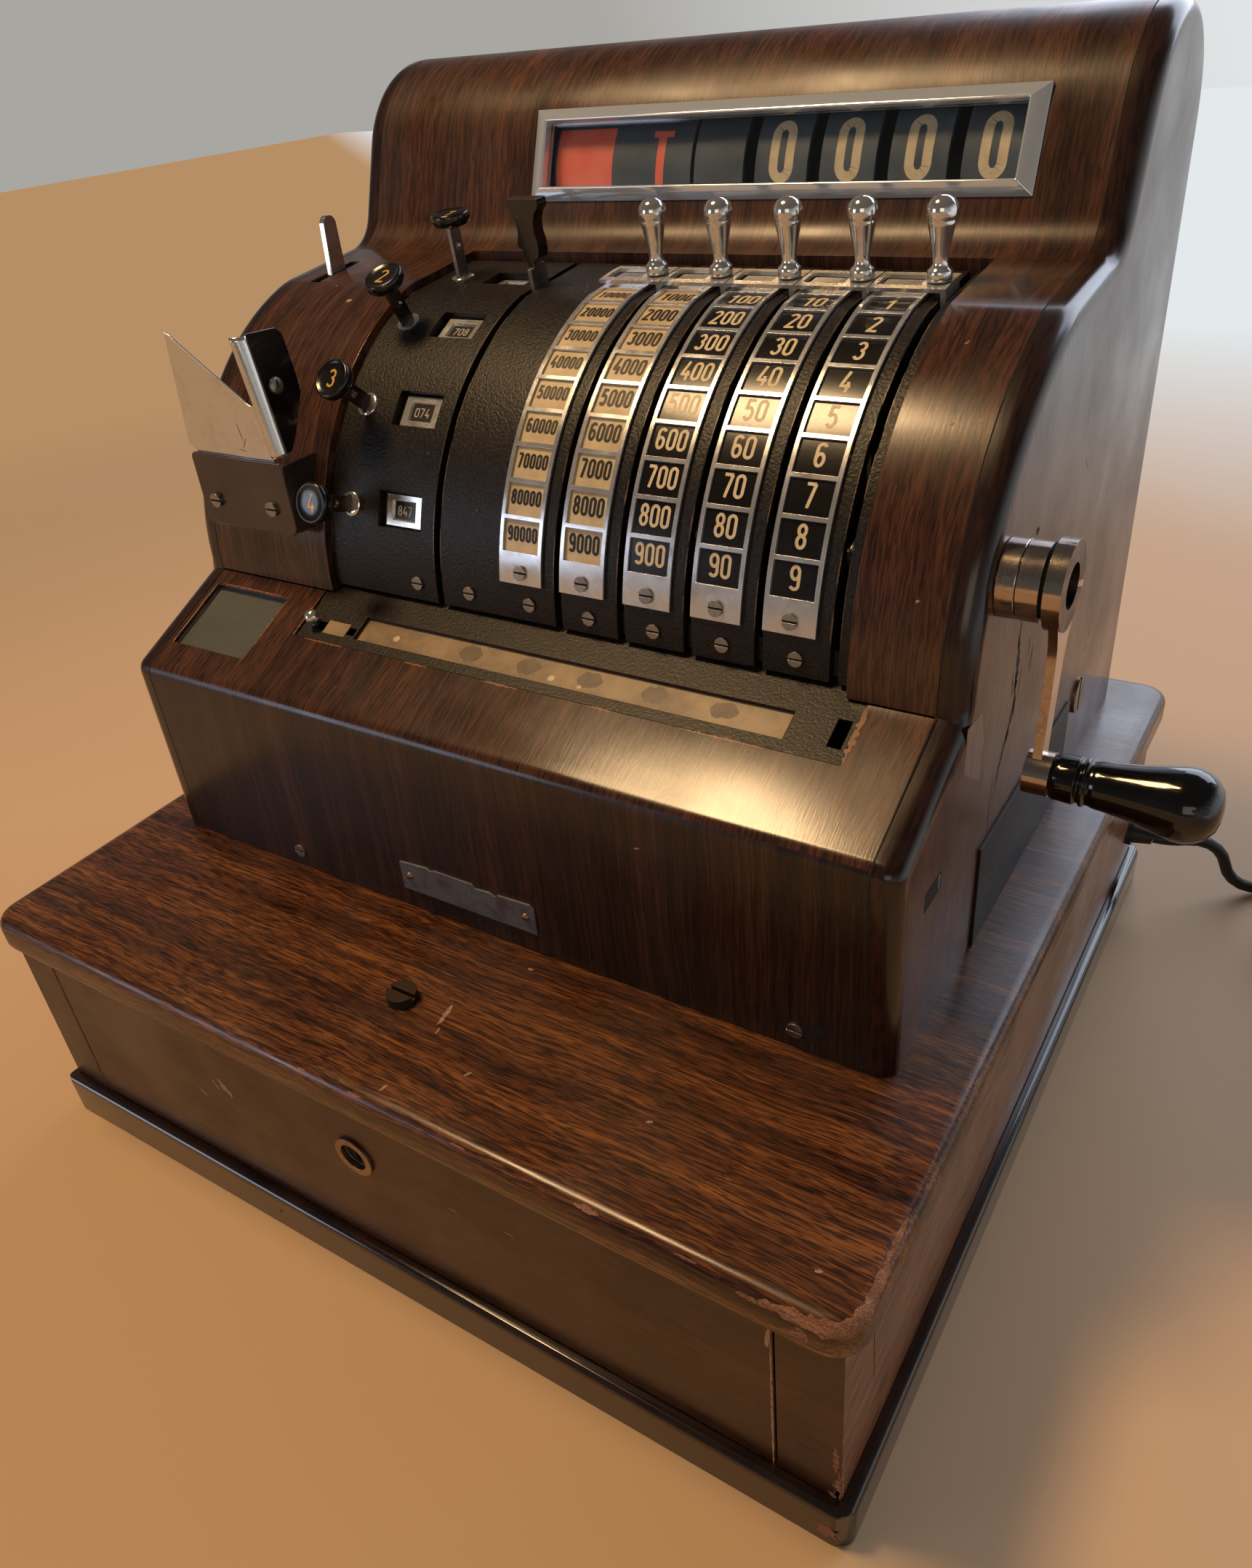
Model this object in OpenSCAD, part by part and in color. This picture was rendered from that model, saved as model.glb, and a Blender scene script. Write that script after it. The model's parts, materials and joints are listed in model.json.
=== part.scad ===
// Lever-set mechanical till: a wooden register cabinet on a cash drawer base.
// Frame: millimetres, +Z up, front towards -Y, origin under the middle of the base.

/* [Base] */
// Width of the base board
base_w = 470; // [450:1:500]
// Depth of the base board
base_d = 464; // [455:1:490]
// Height of the base board's top above the table
base_h = 138; // [130:1:150]
// Thickness of the base board
board_t = 20; // [16:1:24]
// Overhang of the base board past the base's sides
overhang = 6; // [3:0.5:9]
// Thickness of the base's side boards
base_side_t = 26; // [20:1:30]
// Height of the plinth moulding
plinth_h = 23; // [18:1:26]
// Thickness of the drawer front
drawer_front_t = 20; // [16:1:24]
// Clear gap around the drawer front
drawer_gap = 0.8; // [0.5:0.1:1.5]

/* [Cabinet] */
// Width of the register cabinet
cab_w = 410; // [404:1:430]
// Depth of the register cabinet
cab_d = 337.4; // [334:0.2:350]
// Distance from the base's front edge to the cabinet's front
cab_setback = 105.4; // [100:0.2:112]
// Height of the front panel's ridge above the base board
front_h = 99; // [92:1:104]
// Thickness of the rounded side cheeks
cheek_t = 12; // [10:0.5:14]
// Thickness of the bent wooden panels
panel_t = 8; // [6:0.5:8]
// Radius of the rounding along the front ridge
ridge_r = 8; // [5:0.5:11]

/* [Keyboard] */
// Radius of the curved wooden keyboard surface
key_r = 129; // [126:0.5:130]
// Height of the keyboard's axis above the base board
key_axis_h = 127.6; // [126:0.2:130]
// Distance from the cabinet's front to the keyboard's axis
key_axis_in = 190; // [188:0.5:192]
// Angle at which the curve gives way to the flat top
crest_a = 74; // [70:1:78]
// Pitch of the amount levers
lever_pitch = 32.3; // [32:0.1:33]
// Turn of a lever from one figure to the next
step_a = 7.07; // [7:0.01:7.1]
// Depth of the black plates below the wood
plate_drop = 3.8; // [3:0.1:4.2]
// Width of the slots between the black plates
slot_w = 3.4; // [3:0.1:4]
// Width of a figure strip
strip_w = 22.6; // [21:0.1:24]
// Radius of the lever shaft
lever_shaft_r = 6; // [5:0.25:7]

/* [Hood] */
// Height of the hood's top above the base board
hood_h = 341.3; // [340:0.1:350]
// Radius of the hollow between keyboard and hood
hollow_r = 22; // [18:0.5:24]
// Radius of the hood's front bend
hood_r = 55; // [50:1:57]
// Lean of the hood's face from level
face_a = 68.8; // [67:0.1:70]
// Radius of the figure drums
drum_r = 44; // [40:0.5:45]
// Width of a figure drum
drum_w = 26; // [24:0.5:27]

/* [Crank] */
// Radius of the crank boss
boss_r = 14.5; // [13:0.25:16]
// Length of the crank arm between its axes
crank_l = 73; // [65:1:85]
// Length of the crank handle
handle_l = 59; // [55:1:75]
// Greatest radius of the crank handle
handle_r = 14; // [12:0.25:15]

/* [Drawer] */
// Height of the drawer's sides
drawer_h = 68; // [55:1:72]
// Thickness of the drawer's sides
drawer_side_t = 10; // [8:0.5:12]
// Number of coin cups in the tray
coin_cups = 5; // [4:1:6]

/* [Hidden] */

$fn = 48;
gap = 0.3;               // running gap between pieces of different bodies
fit = 0.05;              // radial clearance of shafts in their bores

// ---- driving places
half_w = base_w / 2;
half_d = base_d / 2;
side_x = half_w - overhang;
side_y = half_d - overhang;
inner_x = side_x - base_side_t;
deck = base_h;
cab_x = cab_w / 2;
cheek_x = cab_x - cheek_t;
front_y = -half_d + cab_setback;
rear_y = front_y + cab_d;
ridge_z = deck + front_h;
axis_y = front_y + key_axis_in;
axis_z = deck + key_axis_h;
crease = [axis_y - key_r, axis_z];
slope_a = atan2(axis_z - ridge_z, crease[0] - front_y);
slope_l = (crease[0] - front_y) / cos(slope_a);
hood_top = deck + hood_h;

// ---- keyboard surface: angle t from the level front, depth d below the wood (outwards positive)
flat_a = 6.7;
lip_y = axis_y + 16;
plate_end_y = lip_y - 2.5;
crest = [axis_y - key_r * cos(crest_a), axis_z + key_r * sin(crest_a)];
function flat_rest() = -sin(flat_a) * (crest[0] - axis_y) + cos(flat_a) * (crest[1] - axis_z);
function surf_r(d, t) = t <= crest_a ? key_r + d
  : (flat_rest() + d) / (sin(flat_a) * cos(t) + cos(flat_a) * sin(t));
function polar(r, t) = [axis_y - r * cos(t), axis_z + r * sin(t)];
function surf(d, t) = polar(surf_r(d, t), t);
function arc(c, r, a0, a1, n) =
  [for (i = [0:n]) let (a = a0 + (a1 - a0) * i / n) c + r * [cos(a), sin(a)]];
function back(list) = [for (i = [len(list) - 1:-1:0]) list[i]];
lip_t = 90 + atan2(lip_y - axis_y, key_r);
plate_end_t = 90 + atan2(plate_end_y - axis_y, key_r);

// ---- outline of the cabinet, offset outwards by d
ridge_c = [front_y + ridge_r, ridge_z - ridge_r * (1 - sin(slope_a)) / cos(slope_a)];
function front_path(d) = concat([[front_y - d, deck]], arc(ridge_c, ridge_r + d, 180, 90 + slope_a, 6),
  [crease + d * [-sin(slope_a), cos(slope_a)]]);
// Angles of a band in n steps; one that crosses the crest has a corner there
function steps(t0, t1, n) = t0 < crest_a && t1 > crest_a
  ? concat([for (i = [0:n - 1]) t0 + (crest_a - t0) * i / (n - 1)], [t1])
  : [for (i = [0:n]) t0 + (t1 - t0) * i / n];
function key_path(d, t0, t1) = [for (t = steps(t0, t1, 30)) surf(d, t)];
lip = surf(0, lip_t);
hollow_c = lip + hollow_r * [-sin(flat_a), cos(flat_a)];
bend_y = hollow_c[0] + hollow_r * sin(face_a);
bend_z = hollow_c[1] - hollow_r * cos(face_a);
face_l = (hood_top - hood_r * (1 - cos(face_a)) - bend_z) / sin(face_a);
face_end = [bend_y, bend_z] + face_l * [cos(face_a), sin(face_a)];
hood_c = face_end + hood_r * [sin(face_a), -cos(face_a)];
rear_r = rear_y - hood_c[0];
rear_c = [hood_c[0], hood_top - rear_r];
function hood_path(d) = concat(arc(hollow_c, hollow_r - d, flat_a - 90, face_a - 90, 8),
  arc(hood_c, hood_r + d, face_a + 90, 90, 10), arc(rear_c, rear_r + d, 90, 0, 12));
function cheek_path(d) = concat(front_path(d), key_path(d, 2, lip_t - 1), hood_path(d),
  [[rear_y + d, deck]]);

// ---- levers, strips and drums
function strip_x(k) = -9 + lever_pitch * (k - 1);
slot_from_strip = 30.3;
function slot_x(k) = strip_x(k) + slot_from_strip;
rest_t = 82.5;
first_bar_t = 71.95;
card_t = 0.3;
frame_t = 1.2;
plate_t = 4.4;
plate_top = -plate_drop;
plate_low = -plate_drop - plate_t;
frame_top = plate_top + card_t + frame_t;
saddle_r = key_r + frame_top + 0.6;
saddle_t = 1.5;
saddle_gap = 0.8;
control_x = -46;
clerk_left = -112.8;
wood_left = clerk_left - 0.6;
edge_right = 157;
wood_right = edge_right + 0.4;
drum_y = bend_y + 26 * cos(face_a) + (drum_r + 6) * sin(face_a);
drum_z = bend_z + 26 * sin(face_a) - (drum_r + 6) * cos(face_a);
drum_shaft_r = 5;

// ---- chassis places
frame_x = cheek_x - 6;
frame_plate_t = 3;
key_t = [84.5, 63, 41.5, 20];
key_lift = [4, 0, 0, 0];   // the first key stands a little out of its barrel
key_x = -99.5;
counter_x = -69;
plug_r = 4.5;
barrel_r = 5.6;

// ---- crank
crank_in = 20.15;
crank_t = 24.82;
crank_y = axis_y - (key_r - crank_in) * cos(crank_t);
crank_z = axis_z + (key_r - crank_in) * sin(crank_t);
crank_a = 7;
boss_w = 7.2;
sleeve_w = 9.8;
hub_w = 6.2;
hub_r = 16.5;
crank_shaft_r = 5.5;
hub_x = cab_x + boss_w + gap + sleeve_w;
pivot_y = crank_y - crank_l * sin(crank_a);
pivot_z = crank_z - crank_l * cos(crank_a);
spindle_r = 3.5;

// ---- shapes shared by several pieces
module xprism(x0, x1, pts) {
  translate([x0, 0, 0]) rotate([90, 0, 90]) linear_extrude(x1 - x0) polygon(pts);
}
module box(x0, x1, y0, y1, z0, z1) {
  translate([x0, y0, z0]) cube([x1 - x0, y1 - y0, z1 - z0]);
}
module xrod(x0, x1, y, z, r) {
  translate([x0, y, z]) rotate([0, 90, 0]) cylinder(r = r, h = x1 - x0);
}
// A piece of the curved keyboard between two depths and two angles
module keyband(x0, x1, d0, d1, t0, t1, n = 30) {
  a = steps(t0, t1, n);
  xprism(x0, x1, concat([for (t = a) surf(d1, t)], [for (t = back(a)) surf(d0, t)]));
}
// Stands a piece upright on the keyboard at angle t, radius r
module on_key(x, t, r) {
  translate([x, axis_y - r * cos(t), axis_z + r * sin(t)]) rotate([90 - t, 0, 0]) children();
}
// Lays a piece on the slope: x across, s up the slope from the ridge
module on_slope(x, s) {
  translate([x, front_y + s * cos(slope_a), ridge_z + s * sin(slope_a)]) rotate([slope_a, 0, 0])
    children();
}
module slotted_head(r, h) {
  difference() {
    cylinder(r = r, h = h);
    translate([-r, -r * 0.13, h * 0.5]) cube([2 * r, r * 0.26, h]);
  }
}
module round_plate(w, d, r) {
  square([w - 2 * r, d], center = true);
  square([w, d - 2 * r], center = true);
  for (x = [-1, 1], y = [-1, 1]) translate([x * (w / 2 - r), y * (d / 2 - r)]) circle(r);
}
// A board with rounded corners and rounded long edges
module soft_board(w, d, t, corner, edge) {
  intersection() {
    linear_extrude(t) round_plate(w, d, corner);
    translate([0, d / 2, t / 2]) rotate([90, 0, 0]) linear_extrude(d) round_plate(w, t, edge);
    translate([-w / 2, 0, t / 2]) rotate([90, 0, 90]) linear_extrude(w) round_plate(d, t, edge);
  }
}

// ---- base
pin_y = front_y - 52.5;
cord_y = side_y - 16;
cord_z = 46;
cord_r = 3.75;
grommet_r = 7;
module base_top_board() {
  color("saddlebrown") difference() {
    translate([0, 0, deck - board_t]) soft_board(base_w, base_d, board_t, 14, 7);
    translate([0, pin_y, deck - 10]) cylinder(r = 3 + fit, h = 11);
  }
}
module base_side(s) {
  x0 = s < 0 ? -side_x : inner_x;
  box(x0, x0 + base_side_t, -side_y, side_y, 0, deck - board_t);
}
module base_side_left() { color("sienna") base_side(-1); }
module base_side_right() {
  color("sienna") difference() {
    base_side(1);
    xrod(inner_x - 1, side_x + 1, cord_y, cord_z, grommet_r - 2);
  }
}
back_t = 12;
module base_back() {
  color("peru") box(-inner_x, inner_x, side_y - back_t, side_y, 0, deck - board_t);
}
rail_t = 14;
floor_t = 12;
floor_z = 0;
module base_floor() {
  color("peru") {
    box(-inner_x, inner_x, -side_y, -side_y + rail_t, 0, plinth_h - 1);
    box(-inner_x, inner_x, -side_y + rail_t, side_y - back_t, floor_z, floor_z + floor_t);
  }
}
module plinth_moulding() {
  color("black") difference() {
    intersection() {
      linear_extrude(plinth_h) round_plate(base_w, base_d, 8);
      translate([0, half_d, 0]) rotate([90, 0, 0]) linear_extrude(base_d)
        round_plate(base_w, 2 * plinth_h, 4);
      translate([-half_w, 0, 0]) rotate([90, 0, 90]) linear_extrude(base_w)
        round_plate(base_d, 2 * plinth_h, 4);
    }
    box(-side_x, side_x, -side_y, side_y, -1, plinth_h + 1);
  }
}
runner_w = 18;
runner_z = plinth_h + 1;
drawer_low = runner_z + 6;
drawer_x = inner_x - 10;
drawer_back_y = side_y - back_t - 40;
module drawer_runners() {
  color("peru") for (s = [-1, 1]) {
    x0 = s < 0 ? -inner_x : inner_x - runner_w;
    box(x0, x0 + runner_w, -side_y + drawer_front_t + 2, side_y - back_t, floor_z + floor_t,
      drawer_low);
  }
}
lock_z = deck - 53;
lock_r = 8;
module drawer_front() {
  color("sienna") difference() {
    box(-inner_x + drawer_gap, inner_x - drawer_gap, -side_y, -side_y + drawer_front_t,
      plinth_h + drawer_gap, deck - board_t - drawer_gap);
    translate([0, -side_y - 1, lock_z]) rotate([-90, 0, 0])
      cylinder(r = lock_r + fit, h = drawer_front_t + 2);
  }
}
drawer_bottom_t = 5;
module drawer_box() {
  y0 = -side_y + drawer_front_t;
  z0 = drawer_low + gap;
  color("burlywood") difference() {
    box(-drawer_x, drawer_x, y0, drawer_back_y, z0, z0 + drawer_h);
    box(-drawer_x + drawer_side_t, drawer_x - drawer_side_t, y0 + drawer_side_t,
      drawer_back_y - drawer_side_t, z0 + drawer_bottom_t, z0 + drawer_h + 1);
    translate([0, y0 - 1, lock_z]) rotate([-90, 0, 0]) cylinder(r = lock_r + 1, h = 30);
  }
}
tray_h = 45;
tray_wall = 4;
tray_x = drawer_x - drawer_side_t - 1;
tray_y0 = -side_y + drawer_front_t + drawer_side_t + 22;
tray_back = 38;
tray_d = drawer_back_y - drawer_side_t - tray_back - tray_y0;
tray_z = drawer_low + gap + drawer_bottom_t;
cup_d = 96;
module cash_tray() {
  w = (2 * tray_x - tray_wall) / coin_cups;
  cup_r = (w - tray_wall) / 2;
  color("burlywood") difference() {
    box(-tray_x, tray_x, tray_y0, tray_y0 + tray_d, tray_z, tray_z + tray_h);
    for (i = [0:coin_cups - 1]) {
      x0 = -tray_x + tray_wall + i * w;
      translate([x0 + cup_r, tray_y0 + tray_wall, tray_z + tray_wall + cup_r]) {
        rotate([-90, 0, 0]) cylinder(r = cup_r, h = cup_d);
        translate([-cup_r, 0, 0]) cube([2 * cup_r, cup_d, tray_h]);
      }
      box(x0, x0 + 2 * cup_r, tray_y0 + cup_d + 2 * tray_wall, tray_y0 + tray_d - tray_wall,
        tray_z + tray_wall, tray_z + tray_h + 1);
    }
  }
}
module drawer_lock() {
  color("silver") translate([0, -side_y, lock_z]) rotate([90, 0, 0]) difference() {
    union() {
      cylinder(r = 10.5, h = 1.6);
      translate([0, 0, -drawer_front_t - 8]) cylinder(r = lock_r, h = drawer_front_t + 8.1);
    }
    translate([0, 0, -1.5]) cylinder(r = lock_r - 1, h = 4);
    translate([-1.3, -5, -6]) cube([2.6, 8, 6]);
  }
}

// ---- cabinet
edge_steps = 4;
edge_r = 8;
module cheek_body() {
  translate([0, 0, 0]) linear_extrude(cheek_t - edge_r) polygon(cheek_path(0));
  for (i = [1:edge_steps]) {
    a0 = 90 * (i - 1) / edge_steps;
    a1 = 90 * i / edge_steps;
    translate([0, 0, cheek_t - edge_r + edge_r * sin(a0)]) linear_extrude(edge_r * (sin(a1) - sin(a0)))
      polygon(cheek_path(-edge_r * (1 - cos((a0 + a1) / 2))));
  }
}
module cheek_left() {
  color("saddlebrown") translate([-cheek_x, 0, 0]) mirror([1, 0, 0]) rotate([90, 0, 90])
    cheek_body();
}
slot_yz = [front_y + 25.5, deck + 68];
module cheek_right() {
  color("saddlebrown") difference() {
    translate([cheek_x, 0, 0]) rotate([90, 0, 90]) cheek_body();
    xrod(cheek_x - 1, cab_x + 1, crank_y, crank_z, crank_shaft_r + 1);
    box(cab_x - 5, cab_x + 1, slot_yz[0], slot_yz[0] + 18, slot_yz[1], slot_yz[1] + 9);
  }
}
detail_x0 = -118;
detail_x1 = 166;
detail_s0 = slope_l - 28.4;
pane_s0 = slope_l - 48.9;
pane_s1 = slope_l - 9.9;
pane_x0 = -189;
pane_x1 = -138;
front_t = 10;
function front_inner(t) = let (p = crease + t * [sin(slope_a), -cos(slope_a)])
  [p, [front_y + t, p[1] + (front_y + t - p[0]) * tan(slope_a)], [front_y + t, deck]];
module front_panel() {
  color("saddlebrown") difference() {
    xprism(-cheek_x, cheek_x, concat(front_path(0), front_inner(front_t)));
    on_slope(detail_x0 - 0.3, detail_s0 - 0.3) translate([0, 0, -20])
      cube([detail_x1 - detail_x0 + 0.6, 60, 40]);
    on_slope(pane_x0, pane_s0) translate([0, 0, -20]) cube([pane_x1 - pane_x0, pane_s1 - pane_s0, 40]);
  }
}
feed_x = -178;
seam_t = 0.15;           // the panels start this far above the slope
feed_w = 3;
feed_y = axis_y - 20.4;
module curved_panels() {
  color("saddlebrown") {
    difference() {
      keyband(-cheek_x, wood_left, -panel_t, 0, seam_t, lip_t);
      box(feed_x - feed_w, feed_x + feed_w, feed_y - 16, feed_y + 16, axis_z + key_r - 39, axis_z + key_r + 21);
    }
    keyband(wood_right, cheek_x, -panel_t, 0, seam_t, lip_t);
  }
}
win_x0 = -80.2;
win_x1 = 157;
win_s = 27.2;            // middle of the window above the start of the hood's face
module on_face(x) {
  translate([x, bend_y + win_s * cos(face_a), bend_z + win_s * sin(face_a)]) rotate([face_a, 0, 0])
    children();
}
win_h = 29.6;
bezel_h = 3.5;
bezel_x = 7.7;
bezel_y = 6.3;
bezel_seat = 1.3;
module hood_shell() {
  color("saddlebrown") difference() {
    xprism(-cheek_x, cheek_x, concat(hood_path(0), back(hood_path(-panel_t))));
    on_face(win_x0 - 2) translate([0, -win_h / 2 - 2, -20])
      cube([win_x1 - win_x0 + 4, win_h + 4, 40]);
    on_face(win_x0 - bezel_x - 0.1) translate([0, -win_h / 2 - bezel_y - 0.1, -bezel_seat - 0.05])
      cube([win_x1 - win_x0 + 2 * bezel_x + 0.2, win_h + 2 * bezel_y + 0.2, 20]);
    xrod(win_x0 - 2, drum_x(5) + drum_w / 2 + 2, drum_y, drum_z, drum_r + 1.5);
  }
}
module back_panel() {
  color("saddlebrown") box(-cheek_x, cheek_x, rear_y - panel_t, rear_y, deck, rear_c[1] - gap);
}

// ---- keyboard plates, label frames and cards
module clerk_plate() {
  color("dimgray") difference() {
    keyband(clerk_left, control_x - slot_w / 2, plate_low, plate_top, 1.5, plate_end_t);
    for (t = key_t) {
      on_key(key_x, t, key_r - 29) cylinder(r = barrel_r + fit, h = 40);
      keyband(counter_x - 13, counter_x + 13, plate_low - 5, 5, t - 3.8, t + 3.8, 2);
    }
  }
}
module key_plates() {
  color("dimgray") {
    keyband(control_x + slot_w / 2, slot_x(1) - slot_w / 2, plate_low, plate_top, 1.5, plate_end_t);
    for (k = [2:5])
      keyband(slot_x(k - 1) + slot_w / 2, slot_x(k) - slot_w / 2, plate_low, plate_top, 1.5,
        plate_end_t);
    keyband(slot_x(5) + slot_w / 2, edge_right, plate_low, plate_top, 1.5, plate_end_t);
  }
}
rail_w = 1.9;
bar_a = 0.42;
strip_low_t = 9.4;
strip_top_t = 88;
module label_frame(k) {
  x = strip_x(k);
  difference() {
    keyband(x, x + strip_w, plate_top + card_t, frame_top, strip_low_t, strip_top_t);
    for (i = [0:8]) {
      t1 = first_bar_t + step_a * (1 - i) - bar_a;
      keyband(x + rail_w, x + strip_w - rail_w, plate_top, frame_top + 1, t1 - step_a + 2 * bar_a, t1, 2);
    }
  }
}
module label_frames() { color("silver") for (k = [1:5]) label_frame(k); }
module number_cards() {
  color("wheat") for (k = [1:5])
    keyband(strip_x(k) + 0.3, strip_x(k) + strip_w - 0.3, plate_top + 0.06, plate_top + card_t - 0.06,
      strip_low_t + 0.3, strip_top_t);
}

// ---- amount levers: arm in its slot, saddle over the strip, pear handle
handle_from_strip = 26;
hub_half = 11;
handle_t = 87.5;
arm_t = 2.2;
function sector(r0, r1, t0, t1, n) = concat([for (i = [0:n]) polar(r1, t0 + (t1 - t0) * i / n)],
  [for (i = [n:-1:0]) polar(r0, t0 + (t1 - t0) * i / n)]);
module pear_handle() {
  rotate_extrude($fn = 36) polygon([[0, 0], [4.4, 0], [4.4, 2.4], [3.5, 3.2], [3.5, 4.6], [2.7, 6],
    [3.0, 11], [3.9, 17], [4.9, 22.6], [4.6, 23.3], [5.1, 24.3], [5.3, 25.8], [4.9, 27.6], [3.8, 29.3],
    [2, 30.4], [0, 30.7]]);
}
module arm_blank(x, t, tip_r, half_a, shaft_r) {
  difference() {
    union() {
      xprism(x - arm_t / 2, x + arm_t / 2, concat([polar(8, t + 95)],
        [for (i = [0:4]) polar(tip_r, t + half_a - i * half_a / 2)], [polar(8, t - 95)]));
      xrod(x - hub_half, x + hub_half, axis_y, axis_z, shaft_r + 4);
    }
    xrod(x - hub_half - 1, x + hub_half + 1, axis_y, axis_z, shaft_r + fit);
  }
}
module amount_lever(k) {
  x = strip_x(k);
  tip = saddle_r + saddle_t;
  color("silver") {
    difference() {
      union() {
        arm_blank(slot_x(k), rest_t, tip, 3.5, lever_shaft_r);
        xprism(slot_x(k) + arm_t / 2 - lever_pitch + saddle_gap, slot_x(k) + arm_t / 2,
          sector(saddle_r, tip, rest_t - 3.8, rest_t + 4.6, 4));
      }
      xprism(x + 2, x + strip_w - 2.5, sector(saddle_r - 1, tip + 1, rest_t - 2.2, rest_t + 2.9, 2));
    }
    translate([x + handle_from_strip, axis_y - (tip + 0.05) * cos(rest_t), axis_z + (tip + 0.05) * sin(rest_t)])
      rotate([90 - handle_t, 0, 0]) translate([0, 0, 0.3]) pear_handle();
  }
}

// ---- figure drums on their shaft behind the window
drum_from_strip = 23.8;
function drum_x(k) = strip_x(k) + drum_from_strip;
module drum(x0, w) {
  translate([x0, drum_y, drum_z]) rotate([0, 90, 0]) rotate_extrude($fn = 96) difference() {
    translate([drum_shaft_r + fit, 0]) square([drum_r - drum_shaft_r - fit, w]);
    translate([drum_shaft_r + 4, -1]) square([drum_r - drum_shaft_r - 6, w / 2]);
    translate([drum_shaft_r + 4, w / 2 + 1]) square([drum_r - drum_shaft_r - 6, w]);
  }
}
module figure_drum(k) { color("darkslategray") drum(drum_x(k) - drum_w / 2, drum_w); }
module flag_drum() { color("darkslategray") drum(win_x0 + 1, drum_x(1) - drum_w / 2 - 2 - win_x0 - 1); }
module shafts() {
  color("gray") {
    xrod(-frame_x, frame_x, axis_y, axis_z, lever_shaft_r);
    xrod(-frame_x, frame_x, drum_y, drum_z, drum_shaft_r);
  }
}
feed_pivot_z = axis_z + key_r - 51;
function chassis_outline() = [[front_y + 16, deck], [front_y + 16, ridge_z - 24], polar(key_r - 15.2, -10.1),
  polar(key_r - 12, 22.6), polar(key_r - 11.4, 54.7), surf(-15, 90), [bend_y + 11, bend_z - 16],
  [drum_y - 30, drum_z + 26], [drum_y, drum_z + 38],
  [drum_y + 30, drum_z + 20], [rear_y - panel_t - 4, drum_z - 10], [rear_y - panel_t - 4, deck]];
module chassis_plate(x0) {
  difference() {
    xprism(x0, x0 + frame_plate_t, chassis_outline());
    xrod(x0 - 1, x0 + 10, axis_y, axis_z, lever_shaft_r + fit);
    xrod(x0 - 1, x0 + 10, drum_y, drum_z, drum_shaft_r + fit);
    xrod(x0 - 1, x0 + 10, crank_y, crank_z, crank_shaft_r + fit);
  }
}
module chassis() {
  brace_x = frame_x - frame_plate_t + 1;   // a little into each side plate
  color("slategray") {
    chassis_plate(-frame_x);
    chassis_plate(frame_x - frame_plate_t);
    box(-brace_x, brace_x, front_y + 17, rear_y - panel_t - 5, deck, deck + 3);
    keyband(-brace_x, brace_x, plate_low - 13, plate_low - 0.12, 2, 7, 2);
    keyband(-brace_x, brace_x, plate_low - 8, plate_low - 0.12, 92.5, plate_end_t - 0.5, 2);
    xrod(-brace_x, feed_x + feed_w, feed_y, feed_pivot_z, 3);
  }
}

// ---- display window
module window_bezel() {
  w = win_x1 - win_x0;
  color("silver") on_face((win_x0 + win_x1) / 2) difference() {
    union() {
      translate([-w / 2 - bezel_x, -win_h / 2 - bezel_y, -bezel_seat])
        cube([w + 2 * bezel_x, win_h + 2 * bezel_y, bezel_h + bezel_seat]);
      translate([-w / 2 - 1.8, -win_h / 2 - 1.8, -5]) cube([w + 3.6, win_h + 3.6, 5]);
    }
    cube([w, win_h, 40], center = true);
    hull() {
      cube([w, win_h, 0.1], center = true);
      translate([0, 0, bezel_h + 0.1]) cube([w + 2 * bezel_x - 1, win_h + 2 * bezel_y - 1, 0.1], center = true);
    }
  }
}
pane_t = 2;
module window_glasses() {
  color("lightcyan") {
    on_face((win_x0 + win_x1) / 2) translate([0, 0, -2])
      cube([win_x1 - win_x0 - 0.2, win_h - 0.2, pane_t], center = true);
    on_slope(pane_x0 + 0.1, pane_s0 + 0.1) translate([0, 0, -4])
      cube([pane_x1 - pane_x0 - 0.2, pane_s1 - pane_s0 - 0.2, pane_t]);
  }
}
// ---- control lever, feed lever, slider
control_t = 80.5;
module control_lever() {
  tip = key_r + 4;
  color("black") {
    arm_blank(control_x, control_t, tip, 2.5, lever_shaft_r);
    translate([control_x, axis_y - tip * cos(control_t), axis_z + tip * sin(control_t)])
      rotate([4, 0, 0]) translate([0, 3.8, 0.6]) rotate([90, 0, 0]) linear_extrude(7.6)
        polygon([[-1.4, -1.6], [1.4, -1.6], [1.4, 2], [4.6, 3.2], [5.6, 5.5], [5.6, 10.5], [4.5, 14.5], [4.9, 19],
          [6.4, 22.6], [8.4, 24.6], [8.8, 26.4], [8.2, 28.4], [-8.2, 28.4], [-8.8, 26.4], [-8.4, 24.6],
          [-6.4, 22.6], [-4.9, 19], [-4.5, 14.5], [-5.6, 10.5], [-5.6, 8.2], [-3.4, 7], [-3.4, 4.4], [-1.4, 2]]);
  }
}
module feed_lever() {
  top_z = axis_z + key_r + 19;
  x0 = feed_x - feed_w / 2;
  color("silver") difference() {
    union() {
      xrod(x0, x0 + feed_w, feed_y, feed_pivot_z, 7);
      xrod(x0, x0 + feed_w, feed_y + 1, top_z, 4.5);
      xprism(x0, x0 + feed_w, [[feed_y - 7, feed_pivot_z], [feed_y + 7, feed_pivot_z],
        [feed_y + 5.5, top_z], [feed_y - 3.5, top_z]]);
    }
    xrod(feed_x - 5, feed_x + 5, feed_y, feed_pivot_z, 3 + fit);
  }
}
strip_s0 = slope_l - 22.8;
strip_s1 = slope_l - 9.4;
strip_x0 = -84;
strip_x1 = 140;
knob_travel = 22;
knob_x = -110;
knob_s = slope_l - 19.4;
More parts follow.
